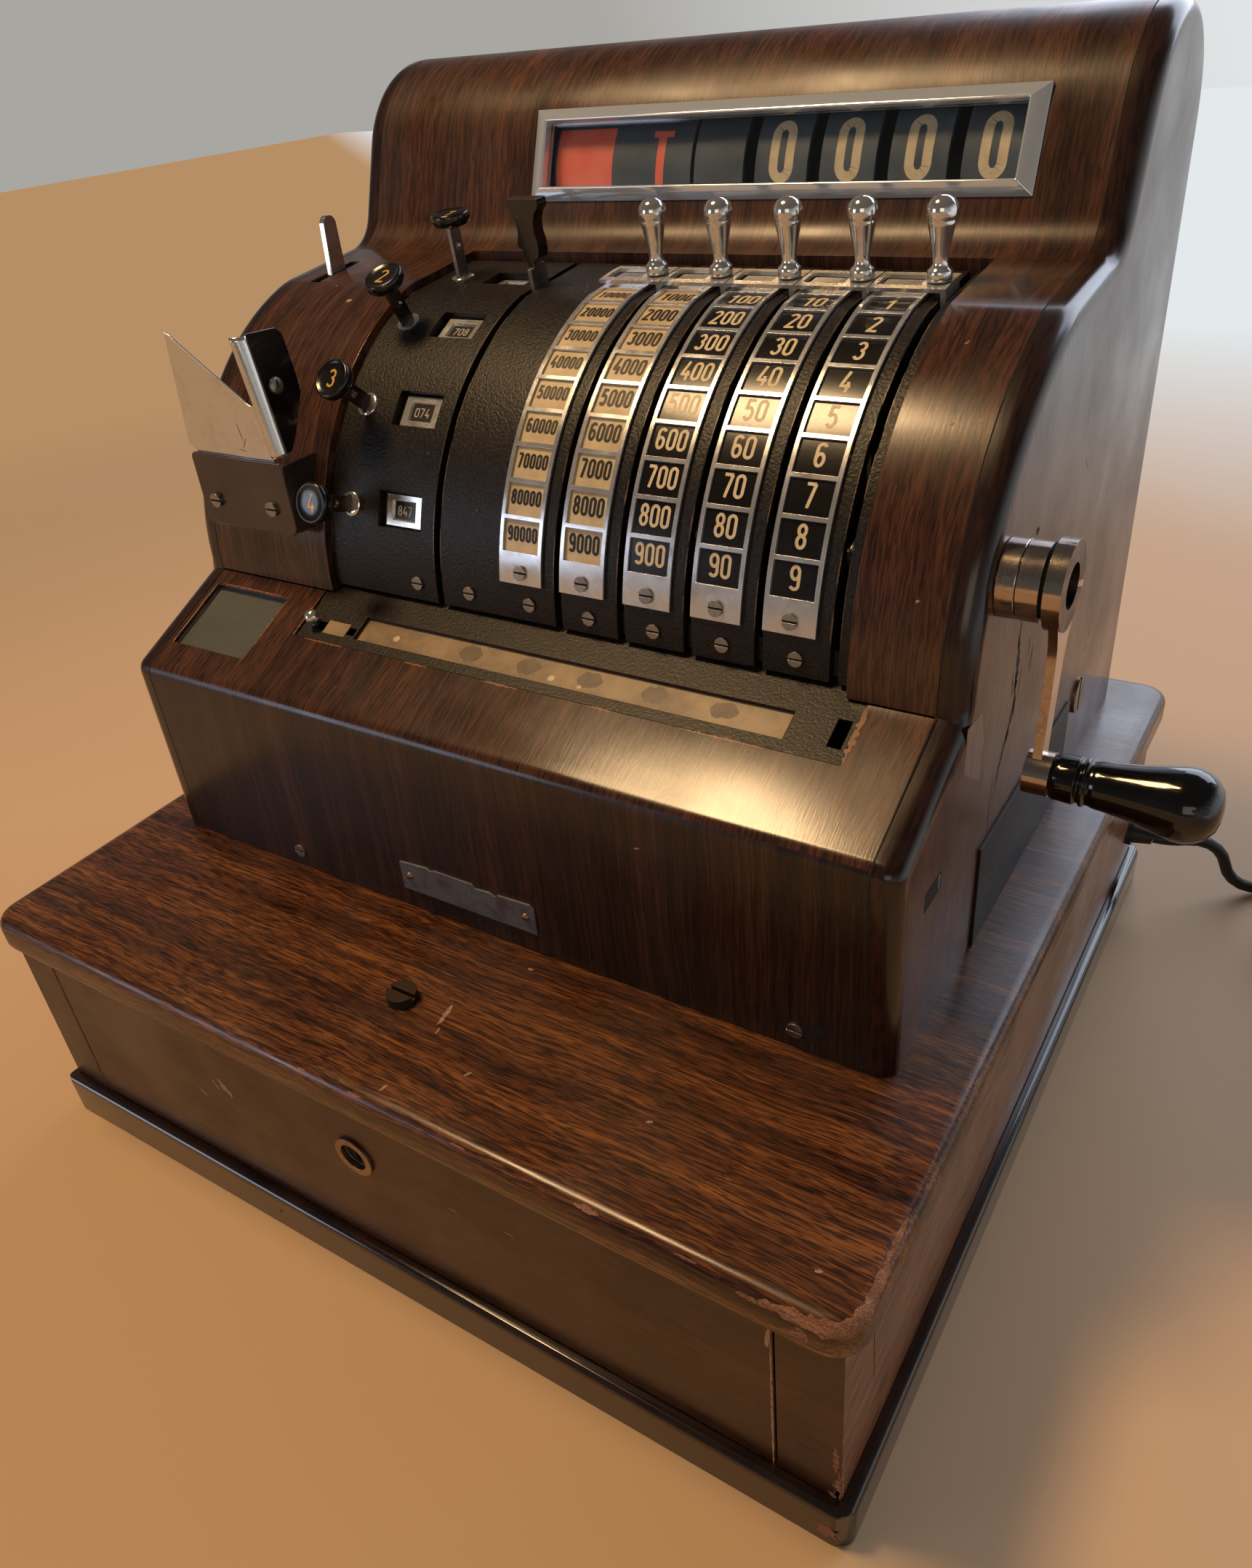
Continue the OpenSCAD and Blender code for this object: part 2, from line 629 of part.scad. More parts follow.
module detail_plate() {
  color("dimgray") on_slope(detail_x0, detail_s0) difference() {
    translate([0, 0, -3]) cube([detail_x1 - detail_x0, slope_l - detail_s0 - 0.5, 2]);
    translate([strip_x0 - detail_x0, strip_s0 - detail_s0, -5])
      cube([strip_x1 - strip_x0, strip_s1 - strip_s0, 10]);
    translate([knob_x - detail_x0 - 3, knob_s - detail_s0 - 2, -5]) cube([knob_travel + 6, 4, 10]);
    translate([276, 7, -5]) cube([5.5, 13, 10]);
  }
}
module detail_strip() {
  color("tan") on_slope(strip_x0 - 2, strip_s0 - 3) translate([0, 0, -4.05])
    cube([strip_x1 - strip_x0 + 8, strip_s1 - strip_s0 + 6, 1]);
}
module slider_knob() {
  color("silver") on_slope(knob_x, knob_s) rotate_extrude($fn = 32)
    polygon([[0, -7], [4.5, -7], [4.5, -5], [1.5, -5], [1.5, -0.6], [2.6, -0.6], [2.6, 0.6], [1.8, 1.2],
      [2.6, 2], [3.5, 3.6], [3.6, 5], [3, 6.6], [1.6, 7.7], [0, 8]]);
}

// ---- clerk keys and counters
head_r = 8.8;
head_h = 5.4;
head_z = 20.3;
blade_w = 7.4;
module clerk_key(i) {
  t = key_t[i];
  r = surf_r(plate_top, t);
  color("black") {
    on_key(key_x, t, r) {
      difference() {
        translate([0, 0, -12]) cylinder(r = plug_r, h = 12.4);
        translate([-1.2, -4.2, -6]) cube([2.4, 8.4, 8]);
      }
      difference() {
        translate([-1, -blade_w / 2, -5.7]) cube([2, blade_w, 5.7 + head_z + key_lift[i]]);
        translate([-2, 0, 11 + key_lift[i]]) rotate([0, 90, 0]) cylinder(r = 2, h = 4);
      }
      translate([0, 0, head_z + key_lift[i]]) rotate_extrude($fn = 40) polygon([[0, 0], [head_r - 1.6, 0],
        [head_r, 1.4], [head_r, head_h - 1.2], [head_r - 1.2, head_h], [0, head_h]]);
    }
  }
}
module key_barrels() {
  color("dimgray") for (t = key_t) on_key(key_x, t, surf_r(plate_top, t)) difference() {
    translate([0, 0, -14]) cylinder(r = barrel_r, h = 14.1);
    translate([0, 0, -12.3]) cylinder(r = plug_r + fit, h = 20);
  }
}
wheel_r = 7;
module counters() {
  color("silver") for (t = key_t) {
    difference() {
      keyband(counter_x - 15, counter_x + 15, plate_low - 2.5, plate_low - 0.05, t - 4.8, t + 4.8, 4);
      keyband(counter_x - 9.5, counter_x + 9.5, plate_low - 9, plate_low + 1, t - 2.3, t + 2.3, 2);
    }
    on_key(counter_x, t, surf_r(plate_low, t) - 2.9 - wheel_r) {
      for (i = [-1:1]) xrod(i * 6 - 2.9, i * 6 + 2.9, 0, 0, wheel_r);
      difference() {
        xrod(-14, 14, 0, 0, 2);
        xrod(-8.95, 8.95, 0, 0, 3);
      }
      for (s = [-1, 1]) translate([s * 13.2 - 0.8, -4, -4]) cube([1.6, 8, wheel_r + 6.6]);
    }
  }
}

// ---- receipt guard on the curved panel
guard_y = axis_y - key_r - 4.4;
guard_x0 = -184;
guard_x1 = -121;
bracket_z0 = axis_z + 29.4;
bracket_z1 = axis_z + 65.4;
guard_top = axis_z + 120.4;
guard_t = 1.2;
notch_x = guard_x0 + 52.5;
function wood_t(z) = asin((z - axis_z) / (key_r + 0.05));
module guard_bracket() {
  flank = concat([[guard_y - 2, bracket_z0], [guard_y - 2, bracket_z1]],
    [for (i = [6:-1:0]) polar(key_r + 0.05, wood_t(bracket_z0) + (wood_t(bracket_z1) - wood_t(bracket_z0)) * i / 6)]);
  color("saddlebrown") {
    xprism(guard_x0, guard_x0 + 2, flank);
    xprism(guard_x1 - 2, guard_x1, flank);
    box(guard_x0 + 2, guard_x1 - 2, guard_y - 2, guard_y, bracket_z0, bracket_z1);
  }
}
module receipt_guard() {
  color("silver") {
    translate([0, guard_y + 0.05 + guard_t, 0]) rotate([90, 0, 0]) linear_extrude(guard_t)
      polygon([[guard_x0 + 3, bracket_z0 + 4], [guard_x0 + 3, bracket_z1 + 0.4], [guard_x0 - 1.5, bracket_z1 + 3],
        [guard_x0 + 3, guard_top + 0.5], [notch_x - 4.5, guard_top - 27], [notch_x - 2, guard_top - 29],
        [notch_x - 0.5, guard_top - 28], [notch_x, guard_top], [guard_x1 - 2.5, bracket_z1 + 2],
        [guard_x1 - 3, bracket_z0 + 4]]);
    translate([notch_x - guard_t, 0, guard_top]) rotate([0, -9.3, 0]) translate([0, 0, -54])
      rotate([90, 0, 90]) linear_extrude(guard_t) polygon([[guard_y + 1.3, 0], [guard_y + 1.3, 53],
        [guard_y + 22, 54], [guard_y + 26, 50], [guard_y + 26, 26], [guard_y + 14, 8]]);
  }
}

// ---- screws, plates and locks
module screws() {
  color("silver") {
    for (k = [1:5]) {
      on_key(strip_x(k) + strip_w / 2 + 0.3, 11.8, key_r + frame_top + fit) slotted_head(3.3, 1.1);
      if (k > 1) on_key(strip_x(k) + 14.3, 4.9, key_r + plate_top + fit) slotted_head(3.2, 1.1);
    }
    for (x = [-59, -28, 6]) on_key(x, 5.3, key_r + plate_top + fit) slotted_head(3.2, 1.1);
    for (x = [-113, 164]) translate([x, front_y, deck + 10]) rotate([90, 0, 0]) slotted_head(3.6, 1);
    for (x = [guard_x0 + 11, guard_x1 - 13]) translate([x, guard_y - 2, bracket_z0 + 13])
      rotate([90, 0, 0]) slotted_head(3.6, 1.8);
    translate([0, pin_y, deck]) {
      slotted_head(7, 5);
      translate([0, 0, -9]) cylinder(r = 3, h = 9);
    }
  }
}
plate_z = deck + 20;
module blank_plates() {
  color("lightgray") {
    box(-41, 38, front_y - 1, front_y, plate_z - 8.5, plate_z + 8.5);
    for (x = [-36, 32.5]) translate([x, front_y - 1, plate_z]) rotate([90, 0, 0]) cylinder(r = 2, h = 1);
    box(cab_x, cab_x + 1.5, front_y + 90, front_y + 226, deck, deck + 52);
  }
}
module side_lock() {
  color("lightgray") translate([cab_x, front_y + 245, deck + 46]) rotate([0, 90, 0]) slotted_head(9.5, 1.5);
}

// ---- crank
module crank_boss() {
  color("silver") difference() {
    xrod(cab_x, cab_x + boss_w, crank_y, crank_z, boss_r);
    xrod(cab_x - 1, cab_x + boss_w + 1, crank_y, crank_z, crank_shaft_r + fit);
  }
}
neck_w = 2;
// Half width of the arm at each share of its length
ARM = [[0.1, 14.6], [0.2, 10.2], [0.29, 7.2], [0.4, 5.7], [0.6, 4.9], [0.97, 4.6]];
function arm_at(l, w) = [crank_y - l * sin(crank_a) + w * cos(crank_a),
  crank_z - l * cos(crank_a) - w * sin(crank_a)];
module crank_arm() {
  color("silver") difference() {
    union() {
      xrod(frame_x - 8, hub_x, crank_y, crank_z, crank_shaft_r);
      xrod(cab_x + boss_w + gap, hub_x - neck_w, crank_y, crank_z, boss_r);
      xrod(hub_x - neck_w, hub_x, crank_y, crank_z, boss_r - 1.6);
      xrod(hub_x, hub_x + hub_w, crank_y, crank_z, hub_r);
      xprism(hub_x + 2.4, hub_x + hub_w - 0.4, concat([for (p = ARM) arm_at(p[0] * crank_l, p[1])],
        [for (p = back(ARM)) arm_at(p[0] * crank_l, -p[1])]));
      xrod(hub_x + 0.2, hub_x + hub_w + 3.5, pivot_y, pivot_z, 8.6);
      xrod(hub_x, hub_x + hub_w + handle_l - 6, pivot_y, pivot_z, spindle_r);
    }
    xrod(hub_x - 4, hub_x + hub_w + 1, crank_y, crank_z, 8.4);
  }
}
module crank_handle() {
  x0 = hub_x + hub_w + 3.5 + gap;
  color("black") translate([x0, pivot_y, pivot_z]) rotate([0, 90, 0]) difference() {
    rotate_extrude($fn = 64) polygon([[0, 0], [8.2, 0], [9, 1.5], [9.3, 9], [8.4, 9.8], [8.4, 10.6], [9.4, 11.4],
      [9.4, 12.4], [8.4, 13.2], [8.4, 14], [9, 16], [9.6, 22], [11, 31], [12.8, 39], [handle_r, 45],
      [handle_r, 48.5], [handle_r - 1, 52], [handle_r - 3, 55.2], [handle_r - 6.5, 57.8],
      [handle_r - 10, handle_l - 0.3], [0, handle_l]]);
    translate([0, 0, -1]) cylinder(r = spindle_r + fit, h = handle_l - 7);
  }
}

// ---- mains cord: exit at the right side near the rear, down to the table, coil, plug
cord_exit_x = side_x + 14;
ROUTE = [[243.4, 210, 46], [248.2, 210.4, 46], [253.1, 211.6, 46], [257.2, 213.2, 46], [260.6, 215.2, 46],
  [267.4, 219.6, 44.8], [273.1, 223.3, 41.8], [278, 226.4, 37.2], [281.7, 228.8, 31.2], [283.8, 230.2, 25],
  [285.9, 231.6, 18.8], [289.6, 234, 12.8], [294.5, 237.1, 8.2], [300.2, 240.8, 5.2], [307, 245.2, 4],
  [318, 251.2, 4], [329.8, 255.4, 4], [342.2, 257.7, 4], [347.7, 258.1, 4]];
coil_c = [368.2, 208.8];
coil_r = 41;
coil_h = 22;
module cord_grommet() {
  color("black") difference() {
    union() {
      xrod(side_x, side_x + 3, cord_y, cord_z, grommet_r + 1);
      xrod(side_x - 12, side_x, cord_y, cord_z, grommet_r - 2 - fit);
      translate([side_x + 3, cord_y, cord_z]) rotate([0, 90, 0]) cylinder(r1 = 6.4, r2 = 4.6, h = 11);
    }
  }
}
function unit(v) = v / norm(v);
function tangent(i) = unit(ROUTE[min(i + 1, len(ROUTE) - 1)] - ROUTE[max(i - 1, 0)]);
module cord() {
  n = len(ROUTE);
  m = 8;
  pts = [for (i = [0:n - 1]) let (t = tangent(i), u = unit(cross([0, 0, 1], t)), v = cross(t, u))
    for (j = [0:m - 1]) ROUTE[i] + cord_r * (cos(360 * j / m) * u + sin(360 * j / m) * v)];
  faces = concat([[for (j = [0:m - 1]) j]], [[for (j = [m - 1:-1:0]) (n - 1) * m + j]],
    [for (i = [0:n - 2], j = [0:m - 1]) [(i + 1) * m + j, (i + 1) * m + (j + 1) % m, i * m + (j + 1) % m,
      i * m + j]]);
  color("black") polyhedron(points = pts, faces = faces, convexity = 4);
}
module cord_coil() {
  color("black") translate([coil_c[0], coil_c[1], 0]) rotate_extrude()
    translate([coil_r - 8, 0.2]) square([16, coil_h]);
}
// The plug lies on the table where the cord leaves the coil at angle plug_t
plug_t = -30;
plug_body_r = 17.6;
plug_run = 28.4;         // from where the cord leaves the ring of turns to the plug's neck
module plug() {
  color("black") translate([coil_c[0] + (coil_r + 3.6) * cos(plug_t), coil_c[1] + (coil_r + 3.6) * sin(plug_t),
    plug_body_r + 0.1]) rotate([0, 0, plug_t - 90]) translate([plug_run, 0, 0]) rotate([0, 90, 0]) {
    rotate_extrude($fn = 48) polygon([[0, 0], [4.6, 0], [5.6, 14], [6.4, 17], [9, 20], [12.5, 23], [15.4, 28],
      [17.2, 34], [plug_body_r, 37], [plug_body_r, 43], [16.6, 44], [0, 44]]);
    for (s = [-1, 1]) translate([0, s * 9.5, 43.9]) cylinder(r = 2.4, h = 19);
  }
}

base_top_board();
base_side_left();
base_side_right();
base_back();
base_floor();
plinth_moulding();
drawer_runners();
drawer_front();
drawer_box();
cash_tray();
drawer_lock();
cheek_left();
cheek_right();
front_panel();
curved_panels();
hood_shell();
back_panel();
clerk_plate();
key_plates();
label_frames();
number_cards();
amount_lever(1);  // amount_lever_1
amount_lever(2);  // amount_lever_2
amount_lever(3);  // amount_lever_3
amount_lever(4);  // amount_lever_4
amount_lever(5);  // amount_lever_5
figure_drum(1);  // figure_drum_1
figure_drum(2);  // figure_drum_2
figure_drum(3);  // figure_drum_3
figure_drum(4);  // figure_drum_4
figure_drum(5);  // figure_drum_5
shafts();
chassis();
window_bezel();
window_glasses();
flag_drum();
control_lever();
feed_lever();
clerk_key(0);  // clerk_key_1
clerk_key(1);  // clerk_key_2
clerk_key(2);  // clerk_key_3
clerk_key(3);  // clerk_key_4
key_barrels();
counters();
detail_plate();
detail_strip();
slider_knob();
receipt_guard();
guard_bracket();
screws();
blank_plates();
side_lock();
crank_boss();
crank_arm();
crank_handle();
cord_grommet();
cord();
cord_coil();
plug();
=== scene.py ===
"""Looks of a lever-set mechanical till: veneered cabinet, keyboard, window, crank, drawer base and cord."""

import json
import logging
import math
from dataclasses import dataclass, field
from enum import Enum
from typing import Any, Callable, Iterable, Sequence

import bmesh
import bpy
import numpy as np
from mathutils import Matrix, Vector

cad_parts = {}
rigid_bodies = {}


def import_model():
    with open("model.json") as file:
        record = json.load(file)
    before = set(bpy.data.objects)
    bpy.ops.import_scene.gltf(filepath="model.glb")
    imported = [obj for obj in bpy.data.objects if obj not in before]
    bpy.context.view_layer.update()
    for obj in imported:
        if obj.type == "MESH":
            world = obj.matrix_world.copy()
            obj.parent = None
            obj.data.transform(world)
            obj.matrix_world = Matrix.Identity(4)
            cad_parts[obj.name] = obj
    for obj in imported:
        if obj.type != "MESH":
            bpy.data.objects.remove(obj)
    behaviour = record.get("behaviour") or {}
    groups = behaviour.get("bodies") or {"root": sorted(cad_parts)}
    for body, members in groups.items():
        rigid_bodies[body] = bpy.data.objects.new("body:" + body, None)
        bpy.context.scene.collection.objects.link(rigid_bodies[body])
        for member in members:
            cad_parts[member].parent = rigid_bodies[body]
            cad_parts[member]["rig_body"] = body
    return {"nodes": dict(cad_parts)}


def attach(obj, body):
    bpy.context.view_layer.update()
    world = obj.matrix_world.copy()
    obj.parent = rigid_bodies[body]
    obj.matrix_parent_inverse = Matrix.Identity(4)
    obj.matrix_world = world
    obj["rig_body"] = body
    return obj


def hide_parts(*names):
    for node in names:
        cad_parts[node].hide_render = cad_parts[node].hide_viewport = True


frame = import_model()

LOG = logging.getLogger("till")
MM = 0.001
Array = np.ndarray
Test = Callable[[Array, Array], Array]
Place = Callable[[Array, Array, float], Array]
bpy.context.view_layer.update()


# ---------------------------------------------------------------- nodes and finishes
def linear(code: str, alpha: float = 1.0) -> tuple[float, float, float, float]:
    """Turns an sRGB hex value to a linear colour.

    Args:
        code: six hex digits after a hash.
        alpha: opacity to carry along.

    Returns:
        Linear red, green, blue and alpha.
    """
    parts = [int(code[i : i + 2], 16) / 255 for i in (1, 3, 5)]
    r, g, b = (p / 12.92 if p <= 0.04045 else ((p + 0.055) / 1.055) ** 2.4 for p in parts)
    return r, g, b, alpha


def add(tree: bpy.types.NodeTree, kind: str, links: dict | None = None, **settings: Any) -> bpy.types.Node:
    """Adds one node with its settings and links.

    Args:
        tree: the node tree to add to.
        kind: the node type after "ShaderNode".
        links: input name or number to a socket to link, or a plain value.
        settings: node attributes; stops holds a ramp's (position, hex) pairs.

    Returns:
        The new node.
    """
    node = tree.nodes.new("ShaderNode" + kind)
    for key, value in settings.items():
        if key == "stops":
            ramp = node.color_ramp
            while len(ramp.elements) < len(value):
                ramp.elements.new(1.0)
            for element, (at, code) in zip(ramp.elements, value):
                element.position = at
                element.color = linear(code)
        else:
            setattr(node, key, value)
    for key, value in (links or {}).items():
        if isinstance(value, bpy.types.NodeSocket):
            tree.links.new(value, node.inputs[key])
        else:
            node.inputs[key].default_value = value
    return node


class Grain(Enum):
    """Row axis along which a board's grain runs."""

    ALONG_X = 0
    ALONG_Y = 1
    ALONG_Z = 2
    ROUND_X = 3


@dataclass(frozen=True)
class Finish:
    """A real surface and how it is made; subclasses wire its nodes."""

    name: str

    def material(self) -> bpy.types.Material:
        """The finish's material, made the first time it is asked for.

        Returns:
            The material, kept by its name.
        """
        found = bpy.data.materials.get(self.name)
        if found:
            return found
        made = bpy.data.materials.new(self.name)
        made.use_nodes = True
        tree = made.node_tree
        shader = tree.nodes["Principled BSDF"]
        place = add(
            tree, "VectorMath", {0: add(tree, "TexCoord").outputs["Object"], "Scale": 1000.0},
            operation="SCALE"
        )
        self.wire(tree, shader, place.outputs["Vector"])
        return made

    def wire(self, tree: bpy.types.NodeTree, shader: bpy.types.Node, place: bpy.types.NodeSocket) -> None:
        """Sets the shader up.

        Args:
            tree: the material's nodes.
            shader: its Principled shader.
            place: the point in millimetres.
        """
        raise NotImplementedError


@dataclass(frozen=True)
class Veneer(Finish):
    """French-polished walnut veneer: red-brown, near-black streaks, under a glossy, slightly worn varnish."""

    grain: Grain = Grain.ROUND_X
    dark: str = "#1b0e09"
    body: str = "#3a2115"
    light: str = "#5f3b26"
    streak: float = 2.2
    length: float = 70.0
    gloss: float = 0.27
    contrast: float = 1.0
    coat: float = 0.25
    pore: float = 0.45

    def wire(self, tree: bpy.types.NodeTree, shader: bpy.types.Node, place: bpy.types.NodeSocket) -> None:
        """Streaks are noise squeezed across the grain; pores are finer noise that also dents the varnish.

        Args:
            tree: the material's nodes.
            shader: its Principled shader.
            place: the point in millimetres.
        """
        across, along = 1 / self.streak, 1 / self.length
        scale = {
            Grain.ALONG_X: (along, across, across),
            Grain.ALONG_Y: (across, along, across),
            Grain.ALONG_Z: (across, across, along),
            Grain.ROUND_X: (across, along, along),
        }[self.grain]
        sway = add(tree, "TexNoise", {"Vector": place, "Scale": 0.012, "Detail": 2.0})
        pull = add(tree, "VectorMath", {0: sway.outputs["Color"], 1: (0.5, 0.5, 0.5)}, operation="SUBTRACT")
        push = add(tree, "VectorMath", {0: pull.outputs[0], "Scale": 9.0}, operation="SCALE")
        moved = add(tree, "VectorMath", {0: place, 1: push.outputs[0]}, operation="ADD")
        fine = add(tree, "VectorMath", {0: moved.outputs[0], 1: scale}, operation="MULTIPLY")
        broad = add(tree, "VectorMath", {0: fine.outputs[0], 1: (0.14, 0.14, 0.14)}, operation="MULTIPLY")
        streaks = add(
            tree, "TexNoise", {"Vector": fine.outputs[0], "Scale": 1.0, "Detail": 5.0, "Roughness": 0.68}
        )
        bands = add(
            tree, "TexNoise", {"Vector": broad.outputs[0], "Scale": 1.0, "Detail": 3.0, "Roughness": 0.5}
        )
        both = add(
            tree, "Mix", {0: 0.42, 2: streaks.outputs["Fac"], 3: bands.outputs["Fac"]}, data_type="FLOAT"
        )
        centre, half = 0.5, 0.16 / self.contrast
        colour = add(
            tree,
            "ValToRGB",
            {"Fac": both.outputs[0]},
            stops=[(centre - half, self.dark), (centre - 0.02, self.body), (centre + half, self.light)],
        )
        short = tuple(6.0 if size == along else 2.3 for size in scale)
        pores = add(tree, "VectorMath", {0: fine.outputs[0], 1: short}, operation="MULTIPLY")
        flecks = add(tree, "TexNoise", {"Vector": pores.outputs[0], "Scale": 1.0, "Detail": 2.0})
        span = {"From Min": 0.4, "From Max": 0.54, "To Min": self.pore, "To Max": 1.0}
        dim = add(tree, "MapRange", {"Value": flecks.outputs["Fac"], **span})
        shade = add(
            tree, "Mix", {0: 1.0, 6: colour.outputs[0], 7: dim.outputs[0]}, data_type="RGBA",
            blend_type="MULTIPLY"
        )
        tree.links.new(shade.outputs[2], shader.inputs["Base Color"])
        haze = add(tree, "TexNoise", {"Vector": place, "Scale": 0.02, "Detail": 4.0})
        span = {"From Min": 0.3, "From Max": 0.7, "To Min": self.gloss * 0.75, "To Max": self.gloss * 1.5}
        rough = add(tree, "MapRange", {"Value": haze.outputs["Fac"], **span})
        tree.links.new(rough.outputs[0], shader.inputs["Roughness"])
        dent = add(tree, "Bump", {"Height": flecks.outputs["Fac"], "Strength": 0.12, "Distance": 0.0002})
        tree.links.new(dent.outputs[0], shader.inputs["Normal"])
        shader.inputs["Specular IOR Level"].default_value = 0.42
        shader.inputs["Coat Weight"].default_value = self.coat
        shader.inputs["Coat Roughness"].default_value = 0.16


@dataclass(frozen=True)
class Plain(Finish):
    """A painted, moulded or stoved surface of one colour, with fine mottling and a grain of given size."""

    colour: str = "#202020"
    second: str = "#2a2a2a"
    rough: float = 0.5
    grit: float = 0.8
    relief: float = 0.0
    patch: float = 30.0
    specular: float = 0.5
    coat: float = 0.0
    speck: float = 0.0

    def wire(self, tree: bpy.types.NodeTree, shader: bpy.types.Node, place: bpy.types.NodeSocket) -> None:
        """Mixes two colours by soft patches and a share of the grain; relief is noise at the real spacing.

        Args:
            tree: the material's nodes.
            shader: its Principled shader.
            place: the point in millimetres.
        """
        mottle = add(
            tree, "TexNoise", {"Vector": place, "Scale": 1 / self.patch, "Detail": 5.0, "Roughness": 0.6}
        )
        grain = add(
            tree, "TexNoise", {"Vector": place, "Scale": 1 / self.grit, "Detail": 2.0, "Roughness": 0.5}
        )
        both = add(
            tree, "Mix", {0: self.speck, 2: mottle.outputs["Fac"], 3: grain.outputs["Fac"]}, data_type="FLOAT"
        )
        colour = add(
            tree, "ValToRGB", {"Fac": both.outputs[0]}, stops=[(0.35, self.colour), (0.65, self.second)]
        )
        tree.links.new(colour.outputs[0], shader.inputs["Base Color"])
        least, most = self.rough * 0.85, min(1.0, self.rough * 1.15)
        span = {"From Min": 0.3, "From Max": 0.7, "To Min": least, "To Max": most}
        rough = add(tree, "MapRange", {"Value": grain.outputs["Fac"], **span})
        tree.links.new(rough.outputs[0], shader.inputs["Roughness"])
        if self.relief:
            dent = add(
                tree, "Bump", {"Height": grain.outputs["Fac"], "Strength": 1.0, "Distance": self.relief * MM}
            )
            tree.links.new(dent.outputs[0], shader.inputs["Normal"])
        shader.inputs["Specular IOR Level"].default_value = self.specular
        shader.inputs["Coat Weight"].default_value = self.coat


@dataclass(frozen=True)
class Metal(Finish):
    """Plated, polished or bare metal with smears, tarnish spots and fine scratches."""

    colour: str = "#c8c4bd"
    tarnish: str = "#6f675c"
    rough: float = 0.22
    spots: float = 0.35
    scratch: float = 0.3
    metallic: float = 1.0

    def wire(self, tree: bpy.types.NodeTree, shader: bpy.types.Node, place: bpy.types.NodeSocket) -> None:
        """Smears vary the roughness; spots of a few tenths of a millimetre darken the plating.

        Args:
            tree: the material's nodes.
            shader: its Principled shader.
            place: the point in millimetres.
        """
        smear = add(tree, "TexNoise", {"Vector": place, "Scale": 0.07, "Detail": 5.0, "Roughness": 0.65})
        least, most = self.rough * 0.6, min(1.0, self.rough * 1.7)
        span = {"From Min": 0.3, "From Max": 0.7, "To Min": least, "To Max": most}
        rough = add(tree, "MapRange", {"Value": smear.outputs["Fac"], **span})
        tree.links.new(rough.outputs[0], shader.inputs["Roughness"])
        speck = add(tree, "TexNoise", {"Vector": place, "Scale": 1.1, "Detail": 3.0, "Roughness": 0.7})
        where = add(tree, "Math", {0: speck.outputs["Fac"], 1: smear.outputs["Fac"]}, operation="MULTIPLY")
        span = {"From Min": 0.26, "From Max": 0.42, "To Min": 0.0, "To Max": self.spots}
        amount = add(tree, "MapRange", {"Value": where.outputs[0], **span})
        colour = add(
            tree, "Mix", {0: amount.outputs[0], 6: linear(self.colour), 7: linear(self.tarnish)},
            data_type="RGBA"
        )
        tree.links.new(colour.outputs[2], shader.inputs["Base Color"])
        dent = add(
            tree, "Bump", {"Height": speck.outputs["Fac"], "Strength": self.scratch, "Distance": 0.00004}
        )
        tree.links.new(dent.outputs[0], shader.inputs["Normal"])
        shader.inputs["Metallic"].default_value = self.metallic


@dataclass(frozen=True)
class Pane(Finish):
    """Flat, nearly clear window glass that mirrors the room a little and lets lamps through to the drums."""

    tint: str = "#f3f5f6"

    def wire(self, tree: bpy.types.NodeTree, shader: bpy.types.Node, place: bpy.types.NodeSocket) -> None:
        """Thin clear glass; dust raises its roughness a little in patches, and lamp rays pass straight on.

        Args:
            tree: the material's nodes.
            shader: its Principled shader.
            place: the point in millimetres.
        """
        dust = add(tree, "TexNoise", {"Vector": place, "Scale": 0.05, "Detail": 6.0})
        rough = add(
            tree, "MapRange",
            {"Value": dust.outputs["Fac"], "From Min": 0.45, "From Max": 0.75, "To Min": 0.01, "To Max": 0.06}
        )
        tree.links.new(rough.outputs[0], shader.inputs["Roughness"])
        shader.inputs["Base Color"].default_value = linear(self.tint)
        shader.inputs["Transmission Weight"].default_value = 1.0
        shader.inputs["IOR"].default_value = 1.45
        ray = add(tree, "LightPath")
        lamps = add(
            tree, "Math", {0: ray.outputs["Is Shadow Ray"], 1: ray.outputs["Is Diffuse Ray"]},
            operation="MAXIMUM"
        )
        clear = add(tree, "BsdfTransparent", {"Color": linear(self.tint)})
        both = add(tree, "MixShader", {0: lamps.outputs[0], 1: shader.outputs[0], 2: clear.outputs[0]})
        tree.links.new(both.outputs[0], tree.nodes["Material Output"].inputs["Surface"])


# Veneers: bent panels take their grain round the bend, boards along their length
PANEL = Veneer(
    "walnut_veneer_bent_panel", dark="#1e0f08", body="#43281b", light="#674029", streak=2.0, length=60,
    gloss=0.2, contrast=0.85
)
HOOD = Veneer(
    "walnut_veneer_hood", dark="#1e0f08", body="#43281b", light="#674029", streak=2.0, length=60, gloss=0.31,
    contrast=0.85, coat=0.04
)
CHEEK = Veneer(
    "walnut_veneer_cheek", grain=Grain.ALONG_Z, dark="#2a160d", body="#50301f", light="#6e452f", streak=3.0,
    gloss=0.3, contrast=0.7
)
FRONT_PANEL = Veneer(
    "walnut_veneer_dark_front", dark="#110a07", body="#2b1811", light="#4b2e20", streak=1.6, length=90,
    gloss=0.3
)
# Cheek edges: the faces not square to X are drawn darker than the cheek's sides
RIM = Veneer(
    "darker_cheek_edge_band", dark="#150b08", body="#2a1811", light="#40261b", streak=3.0, gloss=0.2, contrast=0.7
)
TOP = Veneer(
    "walnut_board_top", grain=Grain.ALONG_X, dark="#1b0d07", body="#56301a", light="#99602f", streak=1.7,
    length=60, gloss=0.28, pore=0.28, coat=0.15
)
# Side boards: the same walnut drawn much lighter than the top and front, as painted daylight from the right
SIDE_WITH_PAINTED_DAYLIGHT = Veneer(
    "walnut_board_side_painted_daylight", grain=Grain.ALONG_Y, dark="#55331e", body="#875a3c", light="#a5724e", streak=3.0,
    length=120, gloss=0.3, contrast=0.6
)
